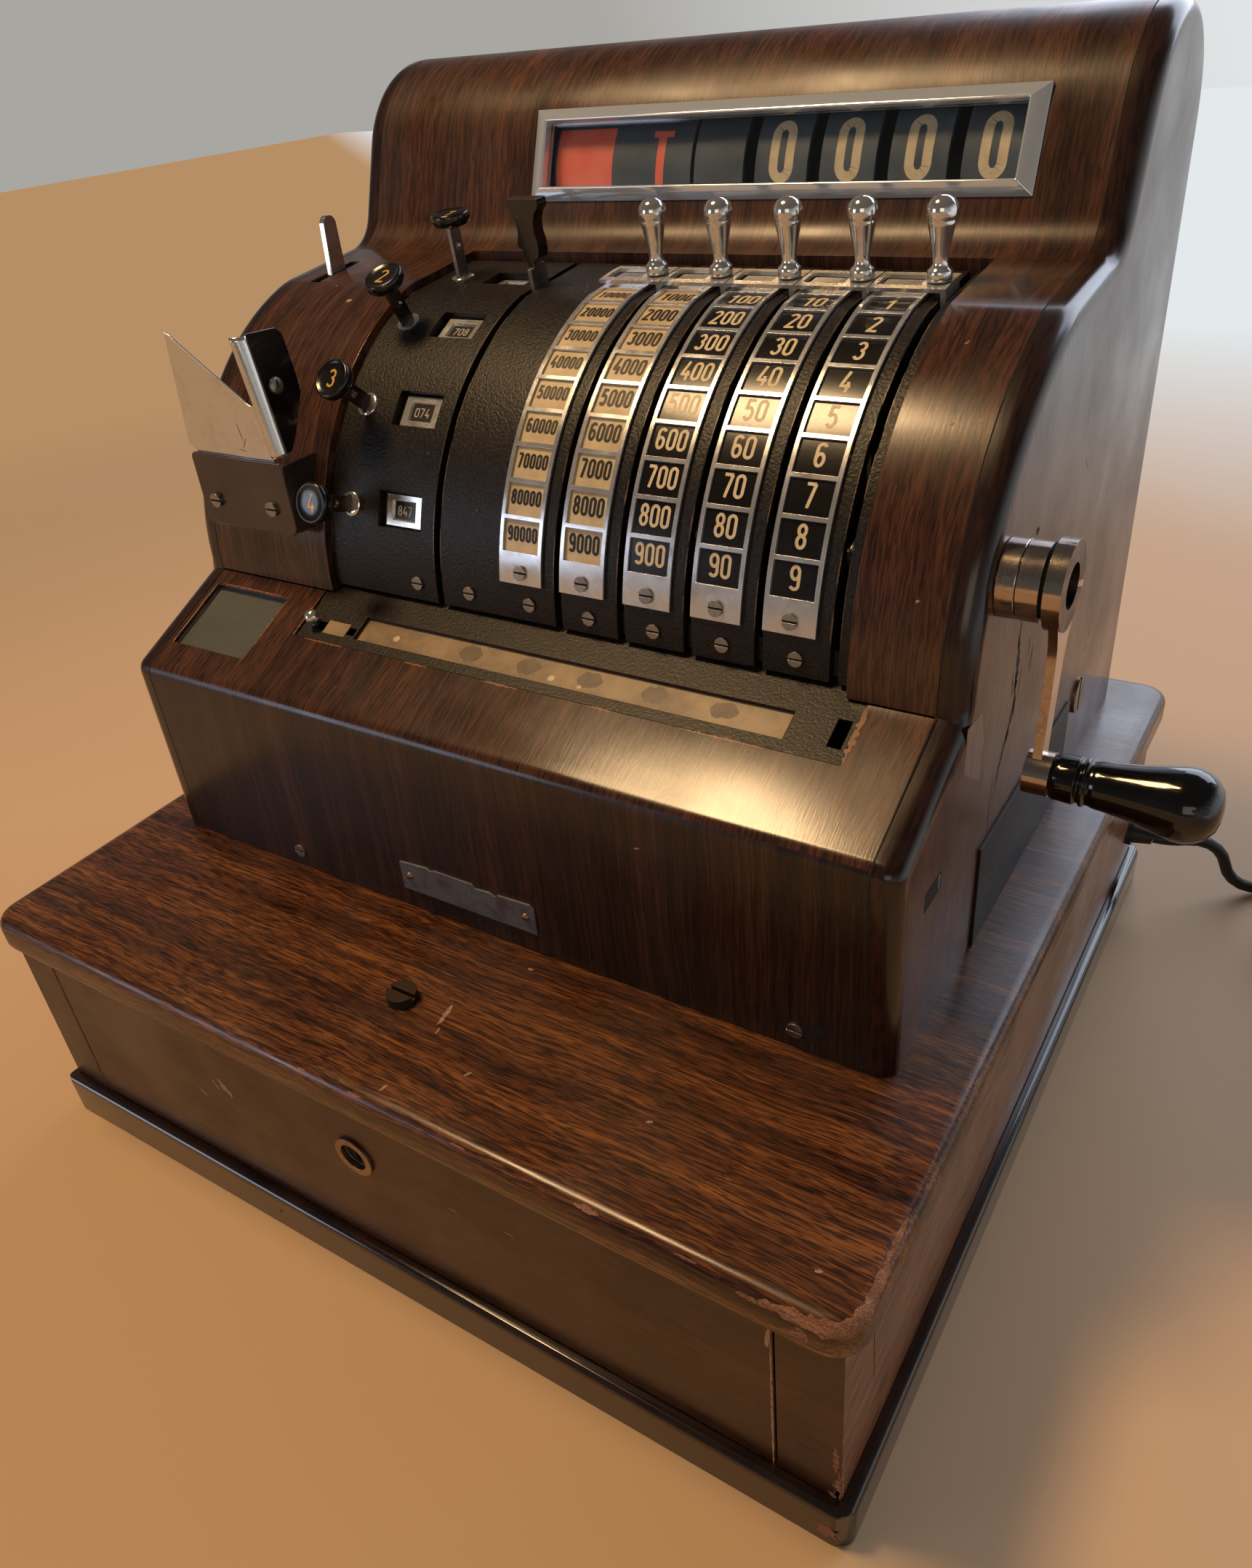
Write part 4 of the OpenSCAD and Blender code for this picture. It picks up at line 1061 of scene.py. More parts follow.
# ---------------------------------------------------------------- figures
@dataclass(frozen=True)
class Figures:
    """Plain condensed figures drawn with a pen of constant width."""

    width: float = 0.5
    pen: float = 0.13

    def strokes(self, digit: str) -> list[Array]:
        """The figure's pen lines in a box width wide and 1 high.

        Args:
            digit: one figure, 0 to 9.

        Returns:
            Polylines whose arcs are ellipses c + (rx cos a, ry sin a).
        """

        def oval(cx: float, cy: float, rx: float, ry: float, a0: float, a1: float, n: int = 20) -> Array:
            """An arc of an ellipse, angles in degrees."""
            a = np.radians(np.linspace(a0, a1, n + 1))
            return np.column_stack([cx + rx * np.cos(a), cy + ry * np.sin(a)])

        def line(*pts: tuple[float, float]) -> Array:
            """Straight strokes through the points."""
            ends = np.array(pts, float)
            return np.vstack(
                [np.linspace(ends[i], ends[i + 1], 5)[:-1] for i in range(len(ends) - 1)] + [ends[-1:]]
            )

        p, w = self.pen / 2, self.width
        l, r, m = p, w - p, w / 2
        rx = (r - l) / 2
        b, t = p, 1 - p
        cap = rx * 1.05
        table = {
            "0": [
                np.vstack(
                    [oval(m, t - cap, rx, cap, 0, 180), oval(m, b + cap, rx, cap, 180, 360), [[r, t - cap]]]
                )
            ],
            "1": [line((m + 0.06, b - p), (m + 0.06, t + p)), line((m + 0.06, t), (l + 0.03, t - 0.17))],
            "2": [
                np.vstack(
                    [oval(m, t - cap, rx, cap, 165, -32), line((m + rx * 0.82, t - cap * 1.55), (l, b))]
                ),
                line((l - p, b), (r + p * 0.6, b))
            ],
            "3": [oval(m, t - 0.21, rx * 0.94, 0.21, 155, -90), oval(m, b + 0.235, rx, 0.235, 90, -155)],
            "4": [
                line((m + 0.04, t + p), (l, b + 0.23)), line((l - p * 0.7, b + 0.23), (r + p, b + 0.23)),
                line((m + 0.11, 0.5), (m + 0.11, b - p))
            ],
            "5": [
                line((r, t), (l + 0.05, t)), line((l + 0.045, t + p), (l + 0.01, 0.5)),
                oval(m - 0.01, b + 0.265, rx, 0.265, 140, -150)
            ],
            "6": [
                np.vstack([oval(m, t - cap, rx, cap, 25, 180), [[l, b + 0.24]]]),
                oval(m, b + 0.24, rx, 0.24, 0, 360)
            ],
            "7": [line((l - p * 0.6, t), (r, t)), line((r - 0.01, t), (l + 0.12, b - p))],
            "8": [oval(m, t - 0.2, rx * 0.9, 0.2, 0, 360), oval(m, b + 0.225, rx, 0.225, 0, 360)],
            "9": [
                oval(m, t - 0.24, rx, 0.24, 0, 360),
                np.vstack([oval(m, b + cap, rx, cap, 205, 360), [[r, t - 0.24]]])
            ],
        }
        return table[digit]

    def draw(
        self, text: str, place: Place, height: float, x: float, spread: float,
        lift: float
    ) -> Shape:
        """Ribbons for a row of figures, laid on a surface.

        Args:
            text: the figures.
            place: the surface.
            height: height of a figure in millimetres.
            x: middle of the row in u.
            spread: width of the row in u.
            lift: distance of the paint above the surface.

        Returns:
            One open ribbon per pen line: point = line +- pen/2 times its normal.
        """
        n = len(text)
        gap = 0.17 * self.width
        unit = spread / (n * self.width + (n - 1) * gap)
        shapes = []
        for i, digit in enumerate(text):
            left = x - spread / 2 + i * (self.width + gap) * unit
            for j, line in enumerate(self.strokes(digit)):
                uv = np.column_stack([left + line[:, 0] * unit, (line[:, 1] - 0.5) * height])
                keep = np.r_[True, np.linalg.norm(np.diff(uv, axis=0), axis=1) > 1e-6]
                uv = uv[keep]
                run = np.r_[0.0, np.cumsum(np.linalg.norm(np.diff(uv, axis=0), axis=1))]
                stops = np.unique(np.round(np.r_[run, np.arange(0, run[-1], 1.1)], 2))
                uv = np.column_stack([np.interp(stops, run, uv[:, 0]), np.interp(stops, run, uv[:, 1])])
                along = np.gradient(uv, axis=0)
                normal = np.column_stack([-along[:, 1], along[:, 0]]) / np.linalg.norm(along, axis=1)[:, None]
                half = 0.5 * self.pen * np.sqrt(unit * height)
                rows = np.stack([uv + half * normal, uv - half * normal])
                flat = place(rows[..., 0], rows[..., 1], lift + 0.004 * j)
                shapes.append(Shape(flat.reshape(-1, 3), grid_faces(2, len(uv))[:, ::-1].tolist()))
        return join(shapes)


def on_key_surface(depth: float, middle: float) -> Place:
    """Maps (u, v, lift) to the keyboard: u is X, v runs up the surface from a middle angle.

    Args:
        depth: millimetres below the keyboard.
        middle: angle of v = 0 in degrees.

    Returns:
        The map.
    """

    def place(u: Array, v: Array, lift: float) -> Array:
        """A point of the surface for each (u, v)."""
        r = FORM.reach(depth, middle)
        t = middle + np.degrees(v / r)
        yz = FORM.surface(depth + lift, t)
        return np.concatenate([u[..., None], yz], axis=-1)

    return place


# ---------------------------------------------------------------- sub-assemblies
@dataclass
class Studio:
    """Floor, walls, lamps and the camera."""

    lens: float = 26.995
    at: tuple[float, float, float] = (0.31134, -0.43348, 0.49108)
    yaw: float = math.degrees(0.615788)
    pitch: float = math.degrees(0.577525)
    roll: float = math.degrees(-0.101337)

    def camera(self) -> None:
        """Places the camera: forward d from yaw and pitch, then rolled about d."""
        y, p, r = (math.radians(a) for a in (self.yaw, self.pitch, self.roll))
        d = Vector((-math.sin(y) * math.cos(p), math.cos(y) * math.cos(p), -math.sin(p)))
        right = Vector((math.cos(y), math.sin(y), 0))
        up = right.cross(d)
        rolled = right * math.cos(r) + up * math.sin(r)
        upward = up * math.cos(r) - right * math.sin(r)
        lens = bpy.data.cameras.new("till_camera")
        lens.lens = self.lens
        lens.sensor_width = 36
        lens.sensor_fit = "AUTO"
        lens.clip_start = 0.01
        eye = bpy.data.objects.new("till_camera", lens)
        basis = Matrix((rolled, upward, -d)).transposed().to_4x4()
        eye.matrix_world = Matrix.Translation(self.at) @ basis
        bpy.context.scene.collection.objects.link(eye)
        bpy.context.scene.camera = eye

    def lamp(
        self, name: str, at: Sequence[float], target: Sequence[float], size: Sequence[float], power: float,
        colour: str
    ) -> None:
        """Adds an area lamp of size metres at a point, aimed at a target.

        Args:
            name: its name.
            at: its place.
            target: what it faces.
            size: width and height in metres.
            power: watts.
            colour: sRGB hex.
        """
        light = bpy.data.lights.new(name, "AREA")
        light.shape = "RECTANGLE"
        light.size, light.size_y = size
        light.energy = power
        light.color = linear(colour)[:3]
        holder = bpy.data.objects.new(name, light)
        holder.location = at
        holder.rotation_euler = (Vector(target) - Vector(at)).to_track_quat("-Z", "Y").to_euler()
        bpy.context.scene.collection.objects.link(holder)

    def floor(self) -> None:
        """A plain tan floor that keeps the till's shadow.

        Away from the till it glows to the eye and in gloss as painted light: tan on the left,
        duller on the right and pale towards the window as painted daylight.
        """
        mesh = bpy.data.meshes.new("studio_floor")
        s = 6.0
        mesh.from_pydata([(-s, -s, 0), (s, -s, 0), (s, s, 0), (-s, s, 0)], [], [(0, 1, 2, 3)])
        ground = bpy.data.objects.new("studio_floor", mesh)
        bpy.context.scene.collection.objects.link(ground)
        paint = bpy.data.materials.new("studio_paint")
        paint.use_nodes = True
        shader = paint.node_tree.nodes["Principled BSDF"]
        shader.inputs["Base Color"].default_value = linear("#d2ae86")
        shader.inputs["Roughness"].default_value = 0.6
        mesh.materials.append(paint)
        net = paint.node_tree
        spot = add(net, "TexCoord").outputs["Object"]
        away = add(
            net, "MapRange",
            {
                "Value": add(net, "VectorMath", {0: spot}, operation="LENGTH").outputs["Value"],
                "From Min": 0.8, "From Max": 1.7
            }
        )
        # Painted daylight: the floor's glow turns pale towards the window.
        right = add(net, "VectorMath", {0: spot, 1: (0.66, 0.75, 0.0)}, operation="DOT_PRODUCT")
        pale = add(net, "MapRange", {"Value": right.outputs["Value"], "From Min": 0.42, "From Max": 0.8})
        shade = add(net, "VectorMath", {0: spot, 1: (1.0, -0.1, 0.0)}, operation="DOT_PRODUCT")
        dull = add(net, "MapRange", {"Value": shade.outputs["Value"], "From Min": 0.15, "From Max": 0.75})
        wood = add(
            net, "Mix", {0: dull.outputs[0], 6: linear("#b78f66"), 7: linear("#a38a75")}, data_type="RGBA"
        )
        tone = add(
            net, "Mix", {0: pale.outputs[0], 6: wood.outputs[2], 7: linear("#e4e9ec")}, data_type="RGBA"
        )
        painted_floor_glow = add(net, "Emission", {"Color": tone.outputs[2], "Strength": 1.0})
        ray = add(net, "LightPath")
        seen = add(
            net, "Math", {0: ray.outputs["Is Camera Ray"], 1: ray.outputs["Is Glossy Ray"]},
            operation="MAXIMUM"
        )
        seen = add(
            net, "Math", {0: seen.outputs[0], 1: ray.outputs["Is Transmission Ray"]}, operation="MAXIMUM"
        )
        amount = add(net, "Math", {0: seen.outputs[0], 1: away.outputs[0]}, operation="MULTIPLY")
        both = add(net, "MixShader", {0: amount.outputs[0], 1: shader.outputs[0], 2: painted_floor_glow.outputs[0]})
        net.links.new(both.outputs[0], net.nodes["Material Output"].inputs["Surface"])

    def walls(self) -> None:
        """A world of grey walls that run into pale daylight on the right, under a dim ceiling."""
        world = bpy.data.worlds.new("studio_world")
        bpy.context.scene.world = world
        world.use_nodes = True
        tree = world.node_tree
        back = tree.nodes["Background"]
        towards = add(
            tree, "VectorMath", {0: add(tree, "TexCoord").outputs["Generated"], 1: (0.6, 0.75, 0.28)},
            operation="DOT_PRODUCT"
        )
        share = add(tree, "MapRange", {"Value": towards.outputs["Value"], "From Min": -1.0, "From Max": 1.0})
        walls = add(
            tree, "ValToRGB", {"Fac": share.outputs[0]},
            stops=[
                (0.1, "#5c5955"), (0.3, "#6f6c68"), (0.42, "#a9a7a2"), (0.65, "#a9a7a2"), (0.88, "#f1f5f7")
            ]
        )
        height = add(tree, "SeparateXYZ", {0: add(tree, "TexCoord").outputs["Generated"]})
        above = add(tree, "MapRange", {"Value": height.outputs["Z"], "From Min": 0.1, "From Max": 0.5})
        colour = add(
            tree, "Mix", {0: above.outputs[0], 6: walls.outputs[0], 7: linear("#4b4845")}, data_type="RGBA"
        )
        tree.links.new(colour.outputs[2], back.inputs["Color"])
        back.inputs["Strength"].default_value = 1.0

    def build(self) -> None:
        """Sets the whole studio up."""
        bpy.context.scene.view_settings.view_transform = "Standard"
        self.camera()
        self.floor()
        self.walls()
        self.lamp("window_lamp", (0.5, 2.3, 1.55), (0, 0, 0.3), (2.6, 1.5), 42, "#e2ebff")
        self.lamp("ceiling_lamp", (-0.54, -0.3, 1.72), (0, 0, 0.3), (0.38, 0.38), 19, "#ffd49c")
        self.lamp("front_lamp", (0.8, -2.2, 0.9), (0, 0, 0.2), (1.2, 0.9), 4, "#fff0dc")
        self.lamp("low_window_lamp", (-1.75, -1.95, 0.72), (0, 0, 0.25), (0.9, 0.75), 8, "#dce8ff")


@dataclass
class MainsCord:
    """The mains lead: out of the right side near the rear, down to the table, coiled beside the base."""

    diameter: float = 7.0
    route: tuple[tuple[float, float, float], ...] = (
        (243.4, 210, 46), (248.2, 210.4, 46), (253.1, 211.6, 46), (257.2, 213.2, 46), (260.6, 215.2, 46),
        (267.4, 219.6, 44.8), (273.1, 223.3, 41.8), (278, 226.4, 37.2), (281.7, 228.8, 31.2),
        (283.8, 230.2, 25),
        (285.9, 231.6, 18.8), (289.6, 234, 12.8), (294.5, 237.1, 8.2), (300.2, 240.8, 5.2), (307, 245.2, 4),
        (318, 251.2, 4), (329.8, 255.4, 4), (342.2, 257.7, 4), (347.7, 258.1, 4),
    )
    centre: tuple[float, float] = (368.2, 208.8)
    sweep: tuple[float, float, float] = (350.52, 178.15, 80.0)
    outer: float = 44.6
    inner: float = 37.4
    meet: float = 60.0
    run: float = 28.4
    plug_z: float = 17.7

    def line(self) -> Array:
        """The route, a wide sweep on to the ring, five and a quarter turns, then straight into the plug.

        Returns:
            Points (x, y, z) in millimetres.
        """
        cx, cy, r = self.sweep
        start = math.degrees(math.atan2(self.route[-1][1] - cy, self.route[-1][0] - cx))
        bend = arc((cx, cy), r, start, self.meet, 8)[1:-1]
        bend = np.column_stack([bend, np.full(len(bend), 4.0)])
        layers = [
            (self.outer, 4.0), (self.inner, 4.0), (self.inner, 11.2), (self.inner, 18.4), (self.outer, 18.4),
            (self.outer, 11.2)
        ]
        turns = []
        for i, (radius, z) in enumerate(layers):
            last = i == len(layers) - 1
            after = layers[i] if last else layers[i + 1]
            f = np.linspace(0, 0.25, 12) if last else np.linspace(0, 1, 44, endpoint=False)
            ease = np.clip((f - 0.6) / 0.28, 0, 1)
            ease = ease * ease * (3 - 2 * ease)
            a = math.radians(self.meet) - 2 * np.pi * (i + f)
            rr, zz = radius + (after[0] - radius) * ease, z + (after[1] - z) * ease
            turns.append(
                np.column_stack([self.centre[0] + rr * np.cos(a), self.centre[1] + rr * np.sin(a), zz])
            )
        away = math.radians(self.meet - 180)
        t = np.linspace(0, 1, 11)[1:]
        climb = np.where(t < 0.5, 2 * t * t, 1 - 2 * (1 - t) ** 2)
        last = turns[-1][-1]
        out = np.column_stack(
            [
                last[0] + self.run * t * math.cos(away), last[1] + self.run * t * math.sin(away),
                last[2] + (self.plug_z - last[2]) * climb
            ]
        )
        return np.vstack([np.array(self.route, float), bend, *turns, out])

    def build(self) -> None:
        """Makes the lead, the grommet's rubber and the plug."""
        line = self.line()
        curve = bpy.data.curves.new("mains_lead", "CURVE")
        curve.dimensions = "3D"
        spline = curve.splines.new("POLY")
        spline.points.add(len(line) - 1)
        spline.points.foreach_set("co", np.column_stack([line * MM, np.ones(len(line))]).ravel())
        curve.bevel_depth = self.diameter * MM / 2
        curve.bevel_resolution = 4
        curve.use_fill_caps = True
        curve.materials.append(RUBBER.material())
        lead = bpy.data.objects.new("mains_lead", curve)
        bpy.context.scene.collection.objects.link(lead)
        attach(lead, "cabinet")
        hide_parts("cord", "cord_coil")
        dress("plug", BAKELITE)
        pin = np.array(self.centre) + self.outer * np.array(
            [math.cos(math.radians(self.meet - 90)), math.sin(math.radians(self.meet - 90))]
        )
        away = np.array([math.cos(math.radians(self.meet - 180)), math.sin(math.radians(self.meet - 180))])
        paint(frame["nodes"]["plug"], NICKEL, lambda c, n: (c[:, :2] - pin) @ away > self.run + 44.2)
        dress("cord_grommet", RUBBER)


@dataclass
class Keyboard:
    """Slotted plates, ladder frames, cards and their figures."""

    strip_w: float = 22.6
    card: float = 0.3
    slot: float = 3.4
    inset: float = 1.7
    ends: tuple[float, float] = (-112.4, 156.6)
    split: float = -46.0
    pens: tuple[float, ...] = (0.178, 0.162, 0.142, 0.135, 0.135)

    def build(self) -> None:
        """Builds every layer of the quadrant."""
        refined("clerk_plate", WRINKLE, 0.5)
        refined("key_plates", WRINKLE, 0.5)
        refined("label_frames", LADDER, 0.25)
        dress("number_cards", CREAM)
        self.cards()
        self.numbers()
        self.edges()

    def cards(self) -> None:
        """Black cells laid over the three right-hand strips."""
        shapes = []
        for k in (3, 4, 5):
            x0 = FORM.strip_x(k) + self.inset
            t = np.linspace(15.6, 84, 60)
            x = np.array([x0, x0 + self.strip_w - 2 * self.inset])
            yz = FORM.surface(-FORM.drop + self.card + 0.12, t)
            rows = np.stack([np.column_stack([np.full(len(t), v), yz]) for v in x], axis=1)
            shapes.append(sheet(rows))
        build("black_cards", join(shapes), BLACK_CARD, tidy=False)

    def numbers(self) -> None:
        """Values 1 to 9 on each strip, with the strip's zeros."""
        for k in range(1, 6):
            shapes = []
            figures = Figures(width=0.46, pen=self.pens[k - 1])
            for n in range(1, 10):
                text = str(n) + "0" * (5 - k)
                middle = FORM.step * (11.05 - n) + 4.85
                high = {5: 6.6, 4: 8.2, 3: 9.2, 2: 9.6, 1: 9.8}[len(text)]
                wide = {5: 15.8, 4: 15.4, 3: 14.2, 2: 9.8, 1: 4.6}[len(text)]
                place = on_key_surface(-FORM.drop + self.card, middle)
                x = FORM.strip_x(k) + self.strip_w / 2
                shapes.append(figures.draw(text, place, high, x, wide, 0.05 if k < 3 else 0.17))
            build(f"figures_strip_{k}", join(shapes), INK if k < 3 else CREAM_INK, tidy=False)

    def edges(self) -> None:
        """Enamel rubbed to the metal along the plates' long edges, drawn also as their painted rim light, and
        a few specks chipped off.
        """
        place = on_key_surface(-FORM.drop, 50.0)
        beside = self.slot / 2 + 0.35
        edges = [self.ends[0], self.split - beside, self.split + beside, self.ends[1]]
        for k in range(1, 6):
            edges += [FORM.slot_x(k) - self.slot / 2 - 0.3, FORM.slot_x(k) + self.slot / 2 + 0.3]
        shapes = []
        rng = np.random.default_rng(5)
        for i, x in enumerate(edges):
            v = -90.0
            while v < 84:
                length = float(rng.uniform(9, 34))
                middle = min(v + length / 2, 84 - length / 2)
                shapes.append(
                    sliver(
                        place, x, middle, length, float(rng.uniform(0.25, 0.6)), 90,
                        seed=i * 40 + int(v + 100), lift=0.04
                    )
                )
                v += length + float(rng.uniform(1, 26))
        # Wear and painted rim light: brown ribbons along the plate and slot edges.
        build("rubbed_plate_edges_and_rim_light", join(shapes), PLATE_EDGE_WEAR_AND_RIM_LIGHT, tidy=False)
        chips = [
            (-104, -2, 1.6, 0.8), (-88, 62, 1.2, 0.7), (-56, -38, 1.4, 0.7), (-62, 71, 1.3, 0.6),
            (-30, 20, 1.0, 0.6), (-24, -60, 1.2, 0.6), (143, -20, 1.4, 0.7)
        ]
        specks = [sliver(place, x, v, a, b, 35, seed=int(x + 300), lift=0.05) for x, v, a, b in chips]
        build("plate_specks", join(specks), BARE_WOOD_AND_EDGE_HIGHLIGHT, tidy=False)


@dataclass
class ClerkKeys:
    """Four turning keys: slotted barrel, browned blade and a black head with a gilt figure."""

    x: float = -99.5
    angles: tuple[float, ...] = (84.5, 63.0, 41.5, 20.0)
    lifts: tuple[float, ...] = (4.0, 0.0, 0.0, 0.0)
    head_z: float = 20.3
    head: tuple[tuple[float, float], ...] = (
        (0, 0), (7.0, 0), (8.2, 0.4), (9.3, 1.8), (9.55, 3.2), (9.5, 4.8), (9.2, 5.6), (8.7, 6.0),
        (8.1, 5.95), (7.5, 5.6), (6.8, 5.35), (4, 5.2), (0, 5.15),
    )

    def build(self) -> None:
        """Builds the keys and the counters beside them."""
        figures = Figures(width=0.5, pen=0.12)
        for i, (t, lift) in enumerate(zip(self.angles, self.lifts), 1):
            a = math.radians(t)
            out = np.array([0, -math.cos(a), math.sin(a)])
            y, z = FORM.surface(-FORM.drop, t)
            foot = np.array([self.x, y, z])
            node = f"clerk_key_{i}"
            piece = refined(node, BLADE if i > 1 else STEEL, 0.2)
            shave(piece, lambda c, n: (c - foot) @ out > self.head_z + lift - 0.05)
            paint(piece, CHROME, lambda c, n: (c - foot) @ out < 0.5)
            body = frame["nodes"][node]["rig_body"]
            top = foot + out * (self.head_z + lift)
            build(f"key_head_{i}", lathe(np.array(self.head), top, out, 56), BAKELITE, body=body, angle=50)
            place = plane(top + out * 5.22, 90 - t)
            disc = np.array([(5.7, -0.4), (5.7, 0.3), (5.2, 0.7), (4.6, 0.85), (2.2, 0.95), (0, 1.0)])
            build(f"key_disc_{i}", lathe(disc, foot, out, 48), CHROME, body=body, angle=50)
            # Painted shade: a near-black patch on the disc where the blade's slot opens
            slot = quad(plane(foot, 90 - t), -1.0, 1.0, -4.3, 4.3, 1.03)
            build(f"key_slot_shade_{i}", slot, DARK_GAP_AND_SLOT_SHADE, body=body, tidy=False)
            build(
                f"key_figure_{i}", figures.draw(str(i), place, 8.6, 0, 4.6, 0.05), GILT, body=body, tidy=False
            )
        refined("key_barrels", NICKEL, 0.25)
        self.counters(("162", "708", "074", "847"))

    def counters(self, texts: Sequence[str]) -> None:
        """Small totals counters: nickel frame deep in its opening, dark wheels, three pale figures each.

        Args:
            texts: the figures of each counter.
        """
        refined("counters", DARK_IRON, 0.1)
        frames, faces, figures = [], [], []
        pen = Figures(width=0.5, pen=0.13)
        for t, text in zip(self.angles, texts):
            y, z = FORM.surface(-FORM.drop - 4.4, t)
            place = plane((-69.0, y, z), 90 - t)
            frames.append(border(place, (10.6, 7.2), (6.4, 4.0), 0.0, 1.3))
            faces.append(quad(place, -7, 7, -4.6, 4.6, 0.1))
            figures.append(pen.draw(text, place, 4.6, -0.3, 8.8, 0.16))
        build("counter_frames", join(frames), NICKEL, bevel=0.15, tidy=False)
        build(
            "counter_wheels", join(faces),
            Plain("dark_counter_wheels", colour="#1b1a19", second="#262422", rough=0.3, grit=0.5), tidy=False
        )
        build("counter_figures", join(figures), GREY_INK, tidy=False)


@dataclass
class FigureWindow:
    """Bezel, glass and the figure drums behind it."""

    drum_r: float = 44.0
    drum_y: float = 153.496
    drum_z: float = 415.728
    left: float = -80.2
    right: float = 157.0
    height: float = 29.6
    climb: float = 27.2
    zeros: Figures = field(default_factory=lambda: Figures(width=0.5, pen=0.17))
    zero_h: float = 27.0
    figure_h: float = 21.5
    figure_w: float = 11.7
    figure_x: float = 23.8
    rise: float = 1.6

    def on_drum(self, turn: float, rise: float = 0.0) -> Place:
        """Maps (u, v, lift) to the drum, v running up from the reading line.

        Args:
            turn: angle in degrees that the drum is turned on from its reading line.
            rise: distance in millimetres that v starts above the reading line.

        Returns:
            A function for points at angle face + 90 + turn - (v + rise) / r on a circle of radius r + lift.
        """
        base = FORM.face + 90.0

        def place(u: Array, v: Array, lift: float) -> Array:
            """A point of the surface for each (u, v)."""
            a = np.radians(base + turn - np.degrees((v + rise) / self.drum_r))
            r = self.drum_r + lift
            return np.stack([u + 0 * a, self.drum_y + r * np.cos(a), self.drum_z + r * np.sin(a)], axis=-1)

        return place

    def bezel(self) -> None:
        """The chrome frame: low rim, broad face climbing to a proud inner edge, then down to the glass."""
        a = math.radians(FORM.face)
        y, z = FORM.hood_points()["bend"] + self.climb * np.array([math.cos(a), math.sin(a)])
        place = plane(((self.left + self.right) / 2, y, z), FORM.face)
        w, h = (self.right - self.left) / 2, self.height / 2
        steps = [
            (7.7, 6.3, -1.2), (7.7, 6.3, 0.5), (7.2, 5.8, 0.9), (1.5, 1.3, 3.3), (0.8, 0.7, 3.5),
            (0.2, 0.1, 3.2), (0, 0, 2.6), (0, 0, -4.8)
        ]
        rows = []
        for dx, dy, lift in steps:
            u, v = w + dx, h + dy
            rows.append(place(np.array([-u, u, u, -u]), np.array([-v, -v, v, v]), lift))
        piece = build(
            "window_bezel_bright", loft(np.array(rows), closed=True, caps=False), BEZEL, bevel=0.25, angle=24,
            tidy=False
        )
        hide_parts("window_bezel")

    def build(self) -> None:
        """Builds the window and paints the drums."""
        self.bezel()
        refined("window_glasses", GLASS, 0.0)
        dress("flag_drum", DRUM)
        for k in range(1, 6):
            dress(f"figure_drum_{k}", DRUM)
            x = FORM.strip_x(k) + self.figure_x
            shapes = []
            for n in range(10):
                if k == 1 and n == 0:
                    continue
                high = self.figure_h if n else self.zero_h
                shapes.append(
                    self.zeros.draw(str(n), self.on_drum(-36.0 * n, self.rise), high, x, self.figure_w, 0.05)
                )
            build(f"drum_figures_{k}", join(shapes), CREAM_INK, body=f"drum_{k}", tidy=False)
        u = np.array([-78.0, -44.5])
        v = np.linspace(-15, 15, 16)
        grid = self.on_drum(0)(*np.meshgrid(u, v), 0.06)
        build("red_flag", sheet(grid), FLAG, body="flag_drum", tidy=False)
        bars = []
        for u0, u1, v0, v1 in ((-19.4, -15.0, -14, 9.4), (-22.4, -11.4, 9.4, 12.4)):
            grid = self.on_drum(0)(*np.meshgrid(np.array([u0, u1]), np.linspace(v0, v1, 12)), 0.06)
            bars.append(sheet(grid))
        build("red_mark", join(bars), FLAG, body="flag_drum", tidy=False)


@dataclass
class Cabinet:
    """Cheeks, front, curved panels, hood and back."""

    rim: float = 8.0

    def cheek(self, side: int) -> None:
        """One cheek: outlines offset inwards by rim (1 - cos a) at x = rim sin a past the square part.

        Args:
            side: 1 for the right cheek, -1 for the left.
        """
        inner = FORM.cab_x - FORM.cheek
        square = FORM.cab_x - self.rim
        a = np.radians(np.linspace(0, 90, 9))
        xs = np.r_[inner, square + self.rim * np.sin(a)]
        ds = np.r_[0.0, -self.rim * (1 - np.cos(a))]
        rows = []
        for x, d in zip(xs, ds):
            path = FORM.cheek_path(d)
            path[:, 1] = np.maximum(path[:, 1], FORM.deck)
            rows.append(np.column_stack([np.full(len(path), side * x), path]))
        name = "cheek_right" if side > 0 else "cheek_left"
        piece = build(name + "_veneered", loft(np.array(rows)), CHEEK, angle=50)
        paint(piece, RIM, lambda c, n: np.abs(n[:, 0]) < 0.93)
        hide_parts(name)

    def joints(self) -> None:
        """The open joint between each cheek and the bent panels: a half-millimetre ribbon on the outline."""
        shapes = []
        seam = FORM.cab_x - FORM.cheek
        sides = (seam - 0.3, seam + 0.25)
        for side in (-1, 1):
            path = np.vstack(
                [
                    FORM.front_path(0.05)[:-1], FORM.key_path(0.05, 0.5, FORM.lip_angle - 1),
                    FORM.hood_path(0.05)
                ]
            )
            edge = [np.column_stack([np.full(len(path), side * x), path]) for x in sides]
            rows = np.stack(edge if side > 0 else edge[::-1], axis=1)
            shapes.append(Shape(rows.reshape(-1, 3), grid_faces(len(path), 2)[:, ::-1].tolist()))
        build("cheek_joints", join(shapes), DARK_GAP_AND_SLOT_SHADE, tidy=False)

    def build(self) -> None:
        """Builds the veneered case."""
        self.cheek(-1)
        self.cheek(1)
        front = refined("front_panel", PANEL, 0.4, angle=25)
        paint(front, FRONT_PANEL, lambda c, n: n[:, 1] < -0.8)
        refined("curved_panels", PANEL, 0.4, angle=25)
        refined("hood_shell", HOOD, 0.3, angle=25)
        refined("back_panel", CHEEK, 0.5)
        self.joints()


